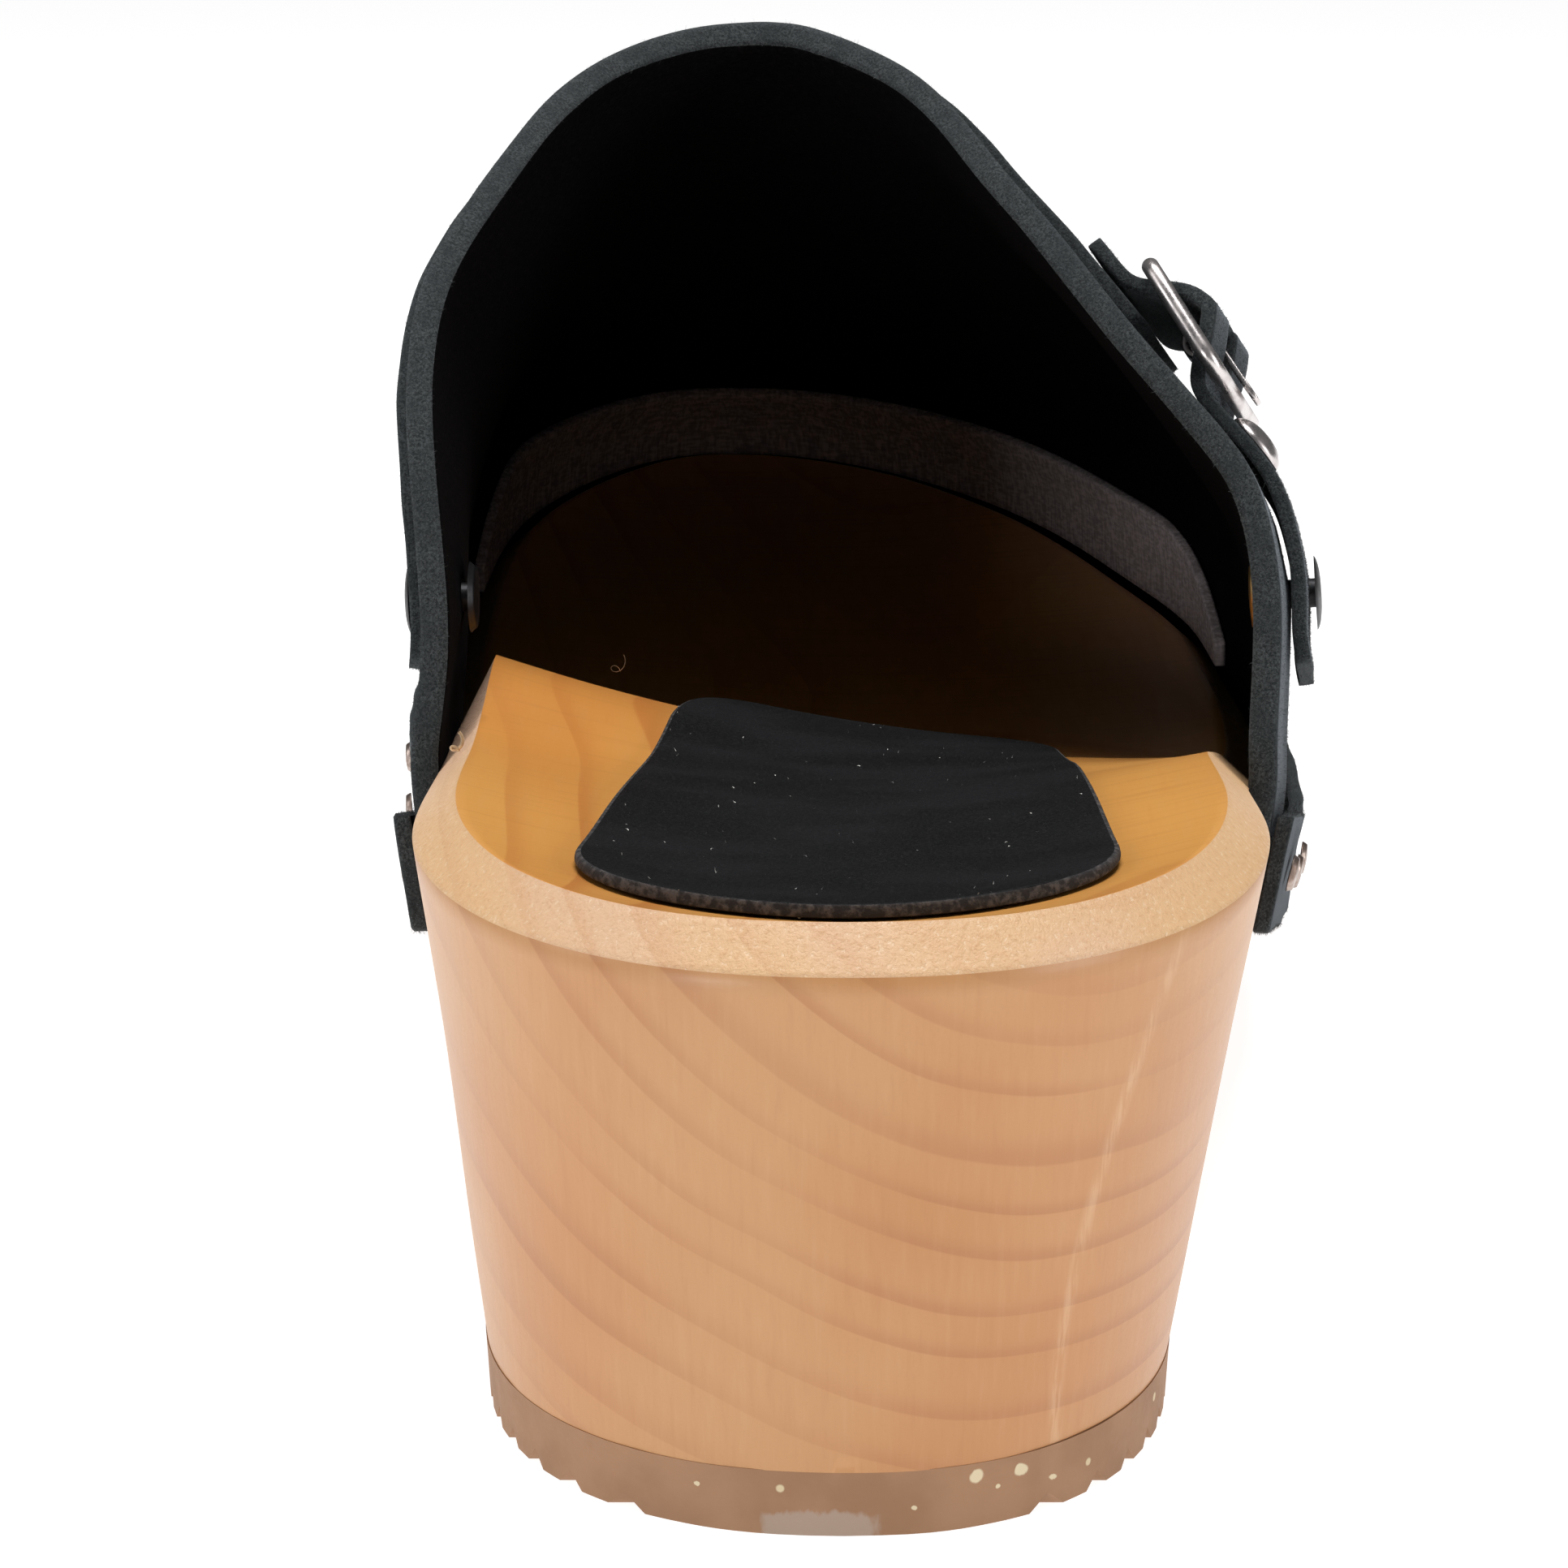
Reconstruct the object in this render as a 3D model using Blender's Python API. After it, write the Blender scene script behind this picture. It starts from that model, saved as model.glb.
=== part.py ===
"""A right clog: a wooden sole with a leather upper nailed to its side, open at the heel, with a buckled instep strap.

Metres, +Z up, +Y towards the toe, +X towards the outer side of the foot. The origin is on the floor,
under the middle of the finished clog's box. While it is modelled, Y counts from the back of the heel.
"""

import math
from collections import namedtuple

import bmesh
import bpy
import numpy as np
from mathutils import Matrix, Vector

# Sole
SOLE_LENGTH = 0.245
HEEL_WIDTH = 0.072
BALL_WIDTH = 0.089
HEEL_HEIGHT = 0.0466
BALL_HEIGHT = 0.028
TOE_HEIGHT = 0.036
TOE_SPRING = 0.013
SHANK_HOLLOW = 0.0105
ARCH_RISE = 0.0108
SEAT_DEPTH = 0.0048
MEDIAL_DRAFT = 0.0059
LATERAL_DRAFT = 0.0081
HEEL_SETBACK = 0.0024
TOE_SETBACK = 0.0040
BEVEL_WIDTH = 0.0036
BEVEL_RISE = 0.0032
HEEL_ROUND = 0.045
LOWER_HEEL_ROUND = 0.034
TOE_ROUND = 0.060
SPINE_SHIFT = -0.012

# Rubber treads under the heel and the forepart
TREAD_THICKNESS = 0.0054
TREAD_TAPER = 0.0003
HEEL_TREAD_LENGTH = 0.0655
FOREPART_TREAD_START = 0.092
RIB_PITCH = 0.0042
RIB_GAP = 0.0022
RIB_DEPTH = 0.0014

# Upper
WALL = 0.0026
INSTEP_AT = 0.127
INSTEP_HEIGHT = 0.1053
INSTEP_SHIFT = -0.007
RIDGE_END_SETBACK = 0.036
TOE_BOX_HEIGHT = 0.0645
MARGIN = 0.0135
TUCK = 0.0005
COLLAR_REACH = 0.30

# Nailed strip round the upper's lower edge
STRIP_THICKNESS = 0.0016
STRIP_HEIGHT = 0.0112
NAIL_HEAD_RADIUS = 0.0019
NAIL_HEAD_RISE = 0.0009
NAIL_PITCH = 0.021
NAIL_INSET = 0.008

# Straps. Heights are above the floor. The instep strap is fixed on the medial side and ends under the buckle; the
# buckle strap is fixed on the lateral side and comes up through the buckle.
STRAP_WIDTH = 0.0145
STRAP_THICKNESS = 0.0014
STRAP_SETBACK = 0.0065
STRAP_END_HEIGHT = 0.049
RIVET_HEIGHT = 0.056
BUCKLE_HEIGHT = 0.0745
TAIL_LENGTH = 0.0045
END_FLARE = 0.0006
ROUND_END = 0.0055
SQUARE_END = 0.0015

# Buckle
FRAME_LENGTH = 0.0152
FRAME_WIDTH = 0.0194
FRAME_BAR = 0.0016
FRAME_DEPTH = 0.0017
FRAME_CORNER = 0.0036
FRAME_CHAMFER = 0.0005
TOP_STAND_OFF = 0.0046
LOWER_STAND_OFF = 0.0025
BAR_RADIUS = 0.0008
PRONG_WIDTH = 0.0022
PRONG_THICKNESS = 0.0006
CURL_RADIUS = 0.0017
PRONG_OVERHANG = 0.0006
SLOT_LENGTH = 0.0046
SLOT_DEPTH = 0.0034

# Rivets
RIVET_HEAD_RADIUS = 0.0036
RIVET_HEAD_RISE = 0.0006
RIVET_SHANK_RADIUS = 0.0014
RIVET_CAP_RADIUS = 0.0034
RIVET_CAP_RISE = 0.0008
STUD_RADIUS = 0.0032
STUD_RISE = 0.0016
STUD_INSET = 0.0040

# Heel pad and toe band
PAD_LENGTH = 0.080
PAD_REAR_WIDTH = 0.0455
PAD_FRONT_WIDTH = 0.035
PAD_SETBACK = 0.0115
PAD_REAR_BOW = 0.0070
PAD_FRONT_BOW = 0.0015
PAD_SHIFT = 0.003
PAD_THICKNESS = 0.0012
PAD_CORNER = 0.008
BAND_HEIGHT = 0.0112
BAND_THICKNESS = 0.0012
BAND_LATERAL_START = 0.157
BAND_MEDIAL_START = 0.187
BAND_SLANT = 0.026

GAP = 0.0003

# One row for each station of the sole. at: share of the length. spine: share of SPINE_SHIFT. spread: 0 at the
# heel's width, 1 at the ball's. medial, lateral: half widths as shares of the width there. drop: share of the
# fall of the rim from heel to ball. arch: share of ARCH_RISE. scoop: share of SEAT_DEPTH. hollow: share of
# SHANK_HOLLOW. toe: share of the rise to the toe. draft: share of the drafts on both sides.
SoleRow = namedtuple("SoleRow", "at spine spread medial lateral drop arch scoop hollow toe draft")
SOLE_ROWS = (
    SoleRow(0.00, 0.00, 0.00, 0.500, 0.500, 0.00, 0.00, 0.00, 0.00, 0.00, 1.00),
    SoleRow(0.04, 0.00, 0.00, 0.500, 0.500, 0.00, 0.00, 0.55, 0.00, 0.00, 1.00),
    SoleRow(0.09, 0.00, 0.00, 0.500, 0.500, 0.00, 0.00, 0.90, 0.00, 0.00, 1.00),
    SoleRow(0.16, 0.00, 0.00, 0.500, 0.500, 0.00, 0.00, 1.00, 0.00, 0.00, 1.00),
    SoleRow(0.24, 0.00, 0.03, 0.495, 0.495, 0.09, 0.03, 0.90, 0.00, 0.00, 0.95),
    SoleRow(0.28, 0.00, 0.12, 0.485, 0.500, 0.23, 0.20, 0.70, 0.03, 0.00, 0.85),
    SoleRow(0.32, 0.00, 0.24, 0.470, 0.510, 0.37, 0.52, 0.45, 0.62, 0.00, 0.70),
    SoleRow(0.37, 0.00, 0.36, 0.455, 0.520, 0.56, 1.00, 0.18, 1.00, 0.00, 0.52),
    SoleRow(0.43, 0.03, 0.47, 0.450, 0.530, 0.79, 0.72, 0.12, 0.72, 0.00, 0.36),
    SoleRow(0.50, 0.08, 0.69, 0.445, 0.540, 0.95, 0.32, 0.30, 0.28, 0.00, 0.27),
    SoleRow(0.57, 0.14, 0.89, 0.440, 0.540, 0.99, 0.12, 0.50, 0.00, 0.00, 0.24),
    SoleRow(0.64, 0.25, 1.00, 0.435, 0.540, 1.00, 0.03, 0.60, 0.00, 0.00, 0.24),
    SoleRow(0.72, 0.43, 1.00, 0.415, 0.550, 1.00, 0.00, 0.55, 0.00, 0.06, 0.26),
    SoleRow(0.81, 0.67, 1.00, 0.380, 0.510, 1.00, 0.00, 0.40, 0.00, 0.27, 0.30),
    SoleRow(0.90, 0.88, 1.00, 0.355, 0.480, 1.00, 0.00, 0.25, 0.00, 0.58, 0.34),
    SoleRow(1.00, 1.00, 1.00, 0.300, 0.400, 1.00, 0.00, 0.00, 0.00, 1.00, 0.34),
)
HEEL_EXPONENT = 2.2
TOE_EXPONENT = 2.3
ARCH_EXPONENT = 2.0
EDGE_SHARE_OF_ARCH = 0.6

# The collar's edge, one row for each level of the upper, from the sole's rim to the ridge. height: share of the
# way up. lean: share of the way forward. medial, lateral: shares of the way in from the rim to the ridge.
CollarRow = namedtuple("CollarRow", "height lean medial lateral")
COLLAR_ROWS = (
    CollarRow(0.00, 0.00, 0.00, 0.00),
    CollarRow(0.11, 0.04, 0.03, -0.01),
    CollarRow(0.24, 0.10, 0.01, -0.02),
    CollarRow(0.37, 0.17, -0.02, 0.01),
    CollarRow(0.49, 0.26, -0.04, 0.13),
    CollarRow(0.58, 0.34, -0.03, 0.24),
    CollarRow(0.66, 0.42, 0.01, 0.33),
    CollarRow(0.74, 0.52, 0.10, 0.42),
    CollarRow(0.81, 0.62, 0.20, 0.51),
    CollarRow(0.88, 0.73, 0.31, 0.59),
    CollarRow(0.93, 0.82, 0.43, 0.67),
    CollarRow(0.96, 0.88, 0.54, 0.75),
    CollarRow(0.987, 0.95, 0.72, 0.86),
    CollarRow(0.997, 0.99, 0.86, 0.93),
    CollarRow(1.00, 1.00, 1.00, 1.00),
)
VAMP_INWARD_POWER = 0.86
VAMP_UPWARD_POWER = 0.90
RIDGE_SPREAD_POWER = 1.8
RIDGE_FALL_POWER = 1.25

# How finely the meshes follow the outline. COLLAR_STATION is the sole's station where the upper begins.
SOLE_STATIONS = 45
COLLAR_STATION = 16
FOOTBED_COLUMNS = 7
OUTLINE_SAMPLES = 720

MEDIAL, LATERAL = -1, 1
TOP_LEVEL = len(COLLAR_ROWS) - 1
FINE_LEVEL = 3


class Curve:
    """A smooth curve through given points that never overshoots between them."""

    def __init__(self, xs, ys):
        self.xs = np.array(xs, float)
        self.ys = np.array(ys, float)
        steps = np.diff(self.xs)
        slopes = np.diff(self.ys) / steps
        self.tangents = np.zeros(len(xs))
        for i in range(1, len(xs) - 1):
            before, after = slopes[i - 1], slopes[i]
            if before * after > 0:
                w1 = 2 * steps[i] + steps[i - 1]
                w2 = steps[i] + 2 * steps[i - 1]
                self.tangents[i] = (w1 + w2) / (w1 / before + w2 / after)
        self.tangents[0], self.tangents[-1] = slopes[0], slopes[-1]

    def __call__(self, x):
        x = min(max(x, self.xs[0]), self.xs[-1])
        i = min(max(int(np.searchsorted(self.xs, x, side="right")) - 1, 0), len(self.xs) - 2)
        step = self.xs[i + 1] - self.xs[i]
        t = (x - self.xs[i]) / step
        return float(
            self.ys[i] * (1 + 2 * t) * (1 - t) ** 2
            + self.tangents[i] * step * t * (1 - t) ** 2
            + self.ys[i + 1] * t * t * (3 - 2 * t)
            - self.tangents[i + 1] * step * t * t * (1 - t)
        )


def table_curves(rows, key):
    """One Curve for each other column of a table, against its key column."""
    keys = [getattr(row, key) for row in rows]
    return {name: Curve(keys, [getattr(row, name) for row in rows]) for name in rows[0]._fields if name != key}


SOLE = table_curves(SOLE_ROWS, "at")


def smooth(x):
    """0 below 0, 1 above 1, and a smooth step between."""
    x = min(max(x, 0.0), 1.0)
    return x * x * (3 - 2 * x)


def mix(a, b, share):
    return a + (b - a) * share


# The sole's outline and heights

def round_end(distance, radius, exponent):
    """The share of the full width at a distance from a rounded end."""
    if distance >= radius:
        return 1.0
    return (1 - (1 - max(distance, 0.0) / radius) ** exponent) ** (1 / exponent)


def spine_x(y):
    return SPINE_SHIFT * SOLE["spine"](y / SOLE_LENGTH)


def half_width(side, y):
    """The distance from the spine to the edge, were the ends not rounded."""
    at = y / SOLE_LENGTH
    share = SOLE["medial"](at) if side == MEDIAL else SOLE["lateral"](at)
    return mix(HEEL_WIDTH, BALL_WIDTH, SOLE["spread"](at)) * share


def side_of(turn):
    return LATERAL if turn % 2 <= 1 else MEDIAL


def turn_of(side, y):
    """Where a point of the outline lies on its way round: 0 at the heel, 1 at the toe, 2 at the heel again."""
    turn = math.acos(1 - 2 * min(max(y / SOLE_LENGTH, 0.0), 1.0)) / math.pi
    return turn if side == LATERAL else 2 - turn


def outline(turn):
    """A point of the wood's upper outer edge, in plan."""
    side = side_of(turn)
    y = SOLE_LENGTH * (1 - math.cos(math.pi * turn)) / 2
    ends = round_end(y, HEEL_ROUND, HEEL_EXPONENT) * round_end(SOLE_LENGTH - y, TOE_ROUND, TOE_EXPONENT)
    return np.array([spine_x(y) + side * half_width(side, y) * ends, y])


def lower_outline(turn):
    """The point of the wood's lower edge below a point of its upper edge, in plan."""
    side = side_of(turn)
    share = (1 - math.cos(math.pi * turn)) / 2
    end = SOLE_LENGTH - TOE_SETBACK
    y = mix(HEEL_SETBACK, end, share)
    draft = (MEDIAL_DRAFT if side == MEDIAL else LATERAL_DRAFT) * SOLE["draft"](y / SOLE_LENGTH)
    heel = round_end(y - HEEL_SETBACK, LOWER_HEEL_ROUND, HEEL_EXPONENT)
    toe = round_end(end - y, TOE_ROUND, TOE_EXPONENT)
    return np.array([spine_x(y) + side * (half_width(side, y) - draft) * heel * toe, y])


def outward(turn):
    """The outline's outward normal, in plan."""
    step = 0.004
    along = outline(turn + step) - outline(turn - step)
    normal = np.array([along[1], -along[0]])
    return normal / np.linalg.norm(normal)


def level_height(y):
    """The height of the rim's outer edge, without the arch."""
    at = y / SOLE_LENGTH
    fall = SOLE["drop"](at) * (HEEL_HEIGHT - BALL_HEIGHT)
    return HEEL_HEIGHT - fall + SOLE["toe"](at) * (TOE_HEIGHT - BALL_HEIGHT)


def arch_height(y):
    return ARCH_RISE * SOLE["arch"](y / SOLE_LENGTH)


def edge_height(side, y):
    raised = EDGE_SHARE_OF_ARCH * arch_height(y) if side == MEDIAL else 0.0
    return level_height(y) + raised


def crest_height(side, y):
    raised = arch_height(y) if side == MEDIAL else 0.0
    return level_height(y) + BEVEL_RISE + raised


def under_height(y):
    """The height of the wood's underside."""
    at = y / SOLE_LENGTH
    return TREAD_THICKNESS + SHANK_HOLLOW * SOLE["hollow"](at) + TOE_SPRING * SOLE["toe"](at)


def side_point(turn, share_up, out=0.0):
    """A point on the wood's side, or off it by out. share_up: 0 at the lower edge, 1 at the upper."""
    upper_edge = outline(turn)
    place = mix(lower_outline(turn), upper_edge, share_up) + outward(turn) * out
    height = mix(under_height(upper_edge[1]), edge_height(side_of(turn), upper_edge[1]), share_up)
    return Vector((place[0], place[1], height))


def crest_point(turn):
    plan = outline(turn)
    place = plan - outward(turn) * BEVEL_WIDTH
    return Vector((place[0], place[1], crest_height(side_of(turn), plan[1])))


def footbed_point(y, across):
    """A point of the footbed: across runs from 0 at the medial rim to 1 at the lateral rim."""
    medial = crest_point(turn_of(MEDIAL, y))
    lateral = crest_point(turn_of(LATERAL, y))
    place = medial.lerp(lateral, across)
    scoop = SEAT_DEPTH * SOLE["scoop"](y / SOLE_LENGTH) * 4 * across * (1 - across)
    level = crest_height(LATERAL, y) + arch_height(y) * (1 - across) ** ARCH_EXPONENT
    return Vector((place.x, place.y, level - scoop))


# Mesh and object helpers

def material(name, colour, roughness, metallic=0.0):
    made = bpy.data.materials.new(name)
    made.use_nodes = True
    shader = made.node_tree.nodes["Principled BSDF"]
    shader.inputs["Base Color"].default_value = (*colour, 1.0)
    shader.inputs["Roughness"].default_value = roughness
    shader.inputs["Metallic"].default_value = metallic
    return made


def add_object(name, mesh, surface, parent):
    mesh.materials.append(surface)
    made = bpy.data.objects.new(name, mesh)
    made.parent = parent
    bpy.context.scene.collection.objects.link(made)
    return made


def mesh_of(name, points, faces, weld=1e-6, smooth_angle=35):
    """A mesh with doubled points joined and its faces pointing out."""
    mesh = bpy.data.meshes.new(name)
    shape = bmesh.new()
    corners = [shape.verts.new(point) for point in points]
    for face in faces:
        shape.faces.new([corners[i] for i in face])
    bmesh.ops.remove_doubles(shape, verts=shape.verts, dist=weld)
    bmesh.ops.dissolve_degenerate(shape, edges=shape.edges, dist=weld)
    bmesh.ops.recalc_face_normals(shape, faces=shape.faces)
    shape.to_mesh(mesh)
    shape.free()
    mesh.shade_smooth()
    mesh.set_sharp_from_angle(angle=math.radians(smooth_angle))
    return mesh


def skin(loops, closed_loops=True, cap_first=False, cap_last=False):
    """Points and faces of a skin over a list of loops of points, all of one length."""
    count = len(loops[0])
    points = [point for loop in loops for point in loop]
    faces = []
    for i in range(len(loops) - 1):
        for j in range(count if closed_loops else count - 1):
            k = (j + 1) % count
            faces.append((i * count + j, i * count + k, (i + 1) * count + k, (i + 1) * count + j))
    if cap_first:
        faces.append(tuple(range(count - 1, -1, -1)))
    if cap_last:
        faces.append(tuple((len(loops) - 1) * count + j for j in range(count)))
    return points, faces


def sheet_object(name, rows, thickness, surface, parent, outwards):
    """A leather sheet over rows of points, grown outwards or inwards to its thickness."""
    points, faces = skin(rows, closed_loops=False)
    mesh = bpy.data.meshes.new(name)
    shape = bmesh.new()
    corners = [shape.verts.new(point) for point in points]
    for face in faces:
        shape.faces.new([corners[i] for i in face])
    bmesh.ops.remove_doubles(shape, verts=shape.verts, dist=1e-6)
    shape.to_mesh(mesh)
    shape.free()
    mesh.shade_smooth()
    made = add_object(name, mesh, surface, parent)
    wall = made.modifiers.new("Wall", "SOLIDIFY")
    wall.thickness = thickness
    wall.offset = 1 if outwards else -1
    wall.use_even_offset = True
    wall.use_quality_normals = True
    return made


def combine(made, tool, operation):
    """Joins a piece with a hidden tool, or cuts it with one."""
    step = made.modifiers.new(tool.name, "BOOLEAN")
    step.operation = operation
    step.solver = "EXACT"
    step.object = tool
    tool.hide_render = True
    tool.display_type = "WIRE"


# Wooden sole

def sole_section(station):
    """One closed cross-section of the wood: underside, lateral side, footbed, medial side."""
    lateral_turn = station / SOLE_STATIONS
    medial_turn = 2 - lateral_turn if station else 2 - 1e-9
    y = outline(lateral_turn)[1]
    levels = (0.0, 0.3, 0.65, 1.0)
    lateral = [side_point(lateral_turn, level) for level in levels]
    medial = [side_point(medial_turn, level) for level in levels]
    columns = [1 - i / (FOOTBED_COLUMNS + 1) for i in range(FOOTBED_COLUMNS + 2)]
    footbed = [footbed_point(y, across) for across in columns]
    return lateral + footbed + medial[::-1]


def wooden_sole(wood, parent):
    sections = [sole_section(station) for station in range(SOLE_STATIONS + 1)]
    points, faces = skin(sections)
    mesh = mesh_of("wooden_sole", points, faces, weld=2e-5, smooth_angle=28)
    return add_object("wooden_sole", mesh, wood, parent)


# Rubber treads

def lower_edges():
    """The wood's lower outline on each side, as arrays of y and x from the heel to the toe."""
    edges = {}
    for side in (MEDIAL, LATERAL):
        turns = np.linspace(0, 1, OUTLINE_SAMPLES)
        if side == MEDIAL:
            turns = 2 - np.maximum(turns, 1e-9)
        places = [side_point(turn, 0.0) for turn in turns]
        edges[side] = (np.array([p.y for p in places]), np.array([p.x for p in places]))
    return edges


def rib_cut(y, start):
    """How deep the tread is cut at y by the grooves between its ribs."""
    offset = (y - start) % RIB_PITCH
    half = RIB_GAP / 2
    return RIB_DEPTH * max(0.0, 1 - abs(offset - half) / half) if y >= start else 0.0


def tread_stations(begin, end, round_at_begin, round_at_end, first_rib, last_rib):
    """Where the tread's cross-sections stand: at every groove, and close together round its ends."""
    stations = {begin, end}
    ends = 14
    reach = 0.024
    for i in range(1, ends):
        near = reach * (i / ends) ** 2
        if round_at_begin:
            stations.add(begin + near)
        if round_at_end:
            stations.add(end - near)
    y = first_rib
    while y + RIB_GAP < last_rib:
        stations.update((y, y + RIB_GAP / 2, y + RIB_GAP))
        y += RIB_PITCH
    kept = []
    for y in sorted(stations):
        if not kept or y - kept[-1] > 1.5e-4:
            kept.append(y)
    kept[-1] = end
    return kept


def tread_piece(name, begin, end, round_at_begin, round_at_end, rubber, parent):
    """A rubber tread that follows the wood's underside, with grooves across it."""
    edges = lower_edges()
    first_rib = begin + (0.0042 if round_at_begin else 0.0012)
    last_rib = end - (0.0042 if round_at_end else 0.0012)
    loops = []
    for y in tread_stations(begin, end, round_at_begin, round_at_end, first_rib, last_rib):
        left = float(np.interp(y, *edges[MEDIAL]))
        right = float(np.interp(y, *edges[LATERAL]))
        taper = min(TREAD_TAPER, 0.4 * (right - left))
        top = under_height(y) - GAP
        bottom = under_height(y) - TREAD_THICKNESS
        if first_rib <= y <= last_rib:
            bottom += rib_cut(y, first_rib)
        loops.append([
            Vector((left, y, top)),
            Vector((left + taper, y, bottom)),
            Vector((right - taper, y, bottom)),
            Vector((right, y, top)),
        ])
    points, faces = skin(loops, cap_first=True, cap_last=True)
    return add_object(name, mesh_of(name, points, faces, weld=2e-5, smooth_angle=20), rubber, parent)


# Upper

def ridge_point(share):
    """The ridge of the vamp: 0 at the collar's peak, 1 where it ends above the toes."""
    end = SOLE_LENGTH - RIDGE_END_SETBACK
    y = mix(INSTEP_AT, end, share)
    height = TOE_BOX_HEIGHT + (INSTEP_HEIGHT - TOE_BOX_HEIGHT) * (1 - share) ** RIDGE_FALL_POWER
    return Vector((mix(INSTEP_SHIFT, spine_x(end), share), y, height))


def rib_turn(side, share):
    """The outline turn of a rib: share is 0 at the collar and 1 at the toe."""
    turn = mix(COLLAR_STATION / SOLE_STATIONS, 1, share)
    return turn if side == LATERAL else 2 - turn


def generic_shape(level):
    """How far in and how far up a plain rib of the vamp has come at a level."""
    angle = math.pi / 2 * level / TOP_LEVEL
    inward = 1 - math.cos(angle) ** VAMP_INWARD_POWER if level < TOP_LEVEL else 1.0
    return inward, math.sin(angle) ** VAMP_UPWARD_POWER


COLLAR_SHAPE = {
    name: Curve(range(len(COLLAR_ROWS)), [getattr(row, name) for row in COLLAR_ROWS])
    for name in CollarRow._fields
}


def upper_surface(side, share, level):
    """A point of the upper's outer face. share: 0 at the collar, 1 at the toe. level: 0 at the rim, up to
    TOP_LEVEL at the ridge, and below 0 on the margin that is nailed to the wood: -1 at the wood's edge, -3 at
    the upper's lower edge."""
    turn = rib_turn(side, share)
    stand_off = GAP + WALL
    if level <= -1:
        height = edge_height(side, outline(turn)[1])
        lowest = level_height(outline(turn)[1]) - MARGIN
        z = mix(height, lowest, (-1 - level) / 2)
        floor = under_height(outline(turn)[1])
        point = side_point(turn, (z - floor) / (height - floor), stand_off)
        return point
    plan = outline(turn) + outward(turn) * (stand_off - TUCK)
    foot = Vector((plan[0], plan[1], crest_height(side, outline(turn)[1])))
    if level < 0:
        return upper_surface(side, share, -1).lerp(foot, level + 1)
    top = ridge_point(1 - (1 - share) ** RIDGE_SPREAD_POWER)
    inward, upward = generic_shape(level)
    away = smooth(share / COLLAR_REACH)
    collar_in = COLLAR_SHAPE["medial" if side == MEDIAL else "lateral"](level)
    across = mix(collar_in, inward, away)
    along = mix(COLLAR_SHAPE["lean"](level), inward * (2 - inward), away)
    up = mix(COLLAR_SHAPE["height"](level), upward, away)
    return Vector((mix(foot.x, top.x, across), mix(foot.y, top.y, along), mix(foot.z, top.z, up)))


def upper_normal(side, share, level):
    """The outward normal of the upper's outer face."""
    step = 0.01
    along = upper_surface(side, min(share + step, 1), level) - upper_surface(side, max(share - step, 0), level)
    high, low = min(level + 0.2, TOP_LEVEL), level - 0.2
    up = upper_surface(side, share, high) - upper_surface(side, share, low)
    return along.cross(up).normalized() * side


def rib_shares():
    """Ribs from the collar on the medial side, round the toe, to the collar on the lateral side."""
    count = SOLE_STATIONS - COLLAR_STATION
    shares = [i / count for i in range(count + 1)]
    return [(MEDIAL, share) for share in shares] + [(LATERAL, share) for share in shares[-2::-1]]


def upper(leather, parent):
    fine = np.arange(FINE_LEVEL, TOP_LEVEL + 0.25, 0.5)
    levels = [-3, -1] + list(range(FINE_LEVEL)) + list(fine)
    rows = [[upper_surface(side, share, level) for level in levels] for side, share in rib_shares()]
    return sheet_object("upper", rows, WALL, leather, parent, outwards=False)


def level_at(side, share, height):
    """The level where a rib of the upper stands at a height above the floor."""
    levels = np.linspace(0, TOP_LEVEL, 105)
    heights = [upper_surface(side, share, level).z for level in levels]
    return float(np.interp(height, heights, levels))


# Nailed strip

def margin_point(turn, above, out):
    """A point off the wood's side, at a distance above the upper's lower edge."""
    y = outline(turn)[1]
    low, high = under_height(y), edge_height(side_of(turn), y)
    return side_point(turn, (level_height(y) - MARGIN + above - low) / (high - low), out)


def edge_strip(leather, parent):
    inner = GAP + WALL + GAP
    outer = inner + STRIP_THICKNESS
    corners = ((0, inner), (0, outer), (STRIP_HEIGHT, outer), (STRIP_HEIGHT, inner))
    loops = []
    for side, share in rib_shares():
        turn = rib_turn(side, share)
        loops.append([margin_point(turn, above, out) for above, out in corners])
    points, faces = skin(loops, cap_first=True, cap_last=True)
    add_object("edge_strip", mesh_of("edge_strip", points, faces), leather, parent)


def lathe(name, profile, steps=16):
    """A solid turned about its own Z axis from a profile of radii and heights."""
    loops = []
    for radius, z in profile:
        angles = [2 * math.pi * i / steps for i in range(steps)]
        loops.append([Vector((radius * math.cos(a), radius * math.sin(a), z)) for a in angles])
    points, faces = skin(loops)
    return mesh_of(name, points, faces)


def facing(origin, normal, along):
    """A place with its Z axis on normal and its X axis as near to along as it can be."""
    z = normal.normalized()
    y = z.cross(along).normalized()
    turned = Matrix((y.cross(z), y, z)).transposed().to_4x4()
    return Matrix.Translation(origin) @ turned


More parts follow.
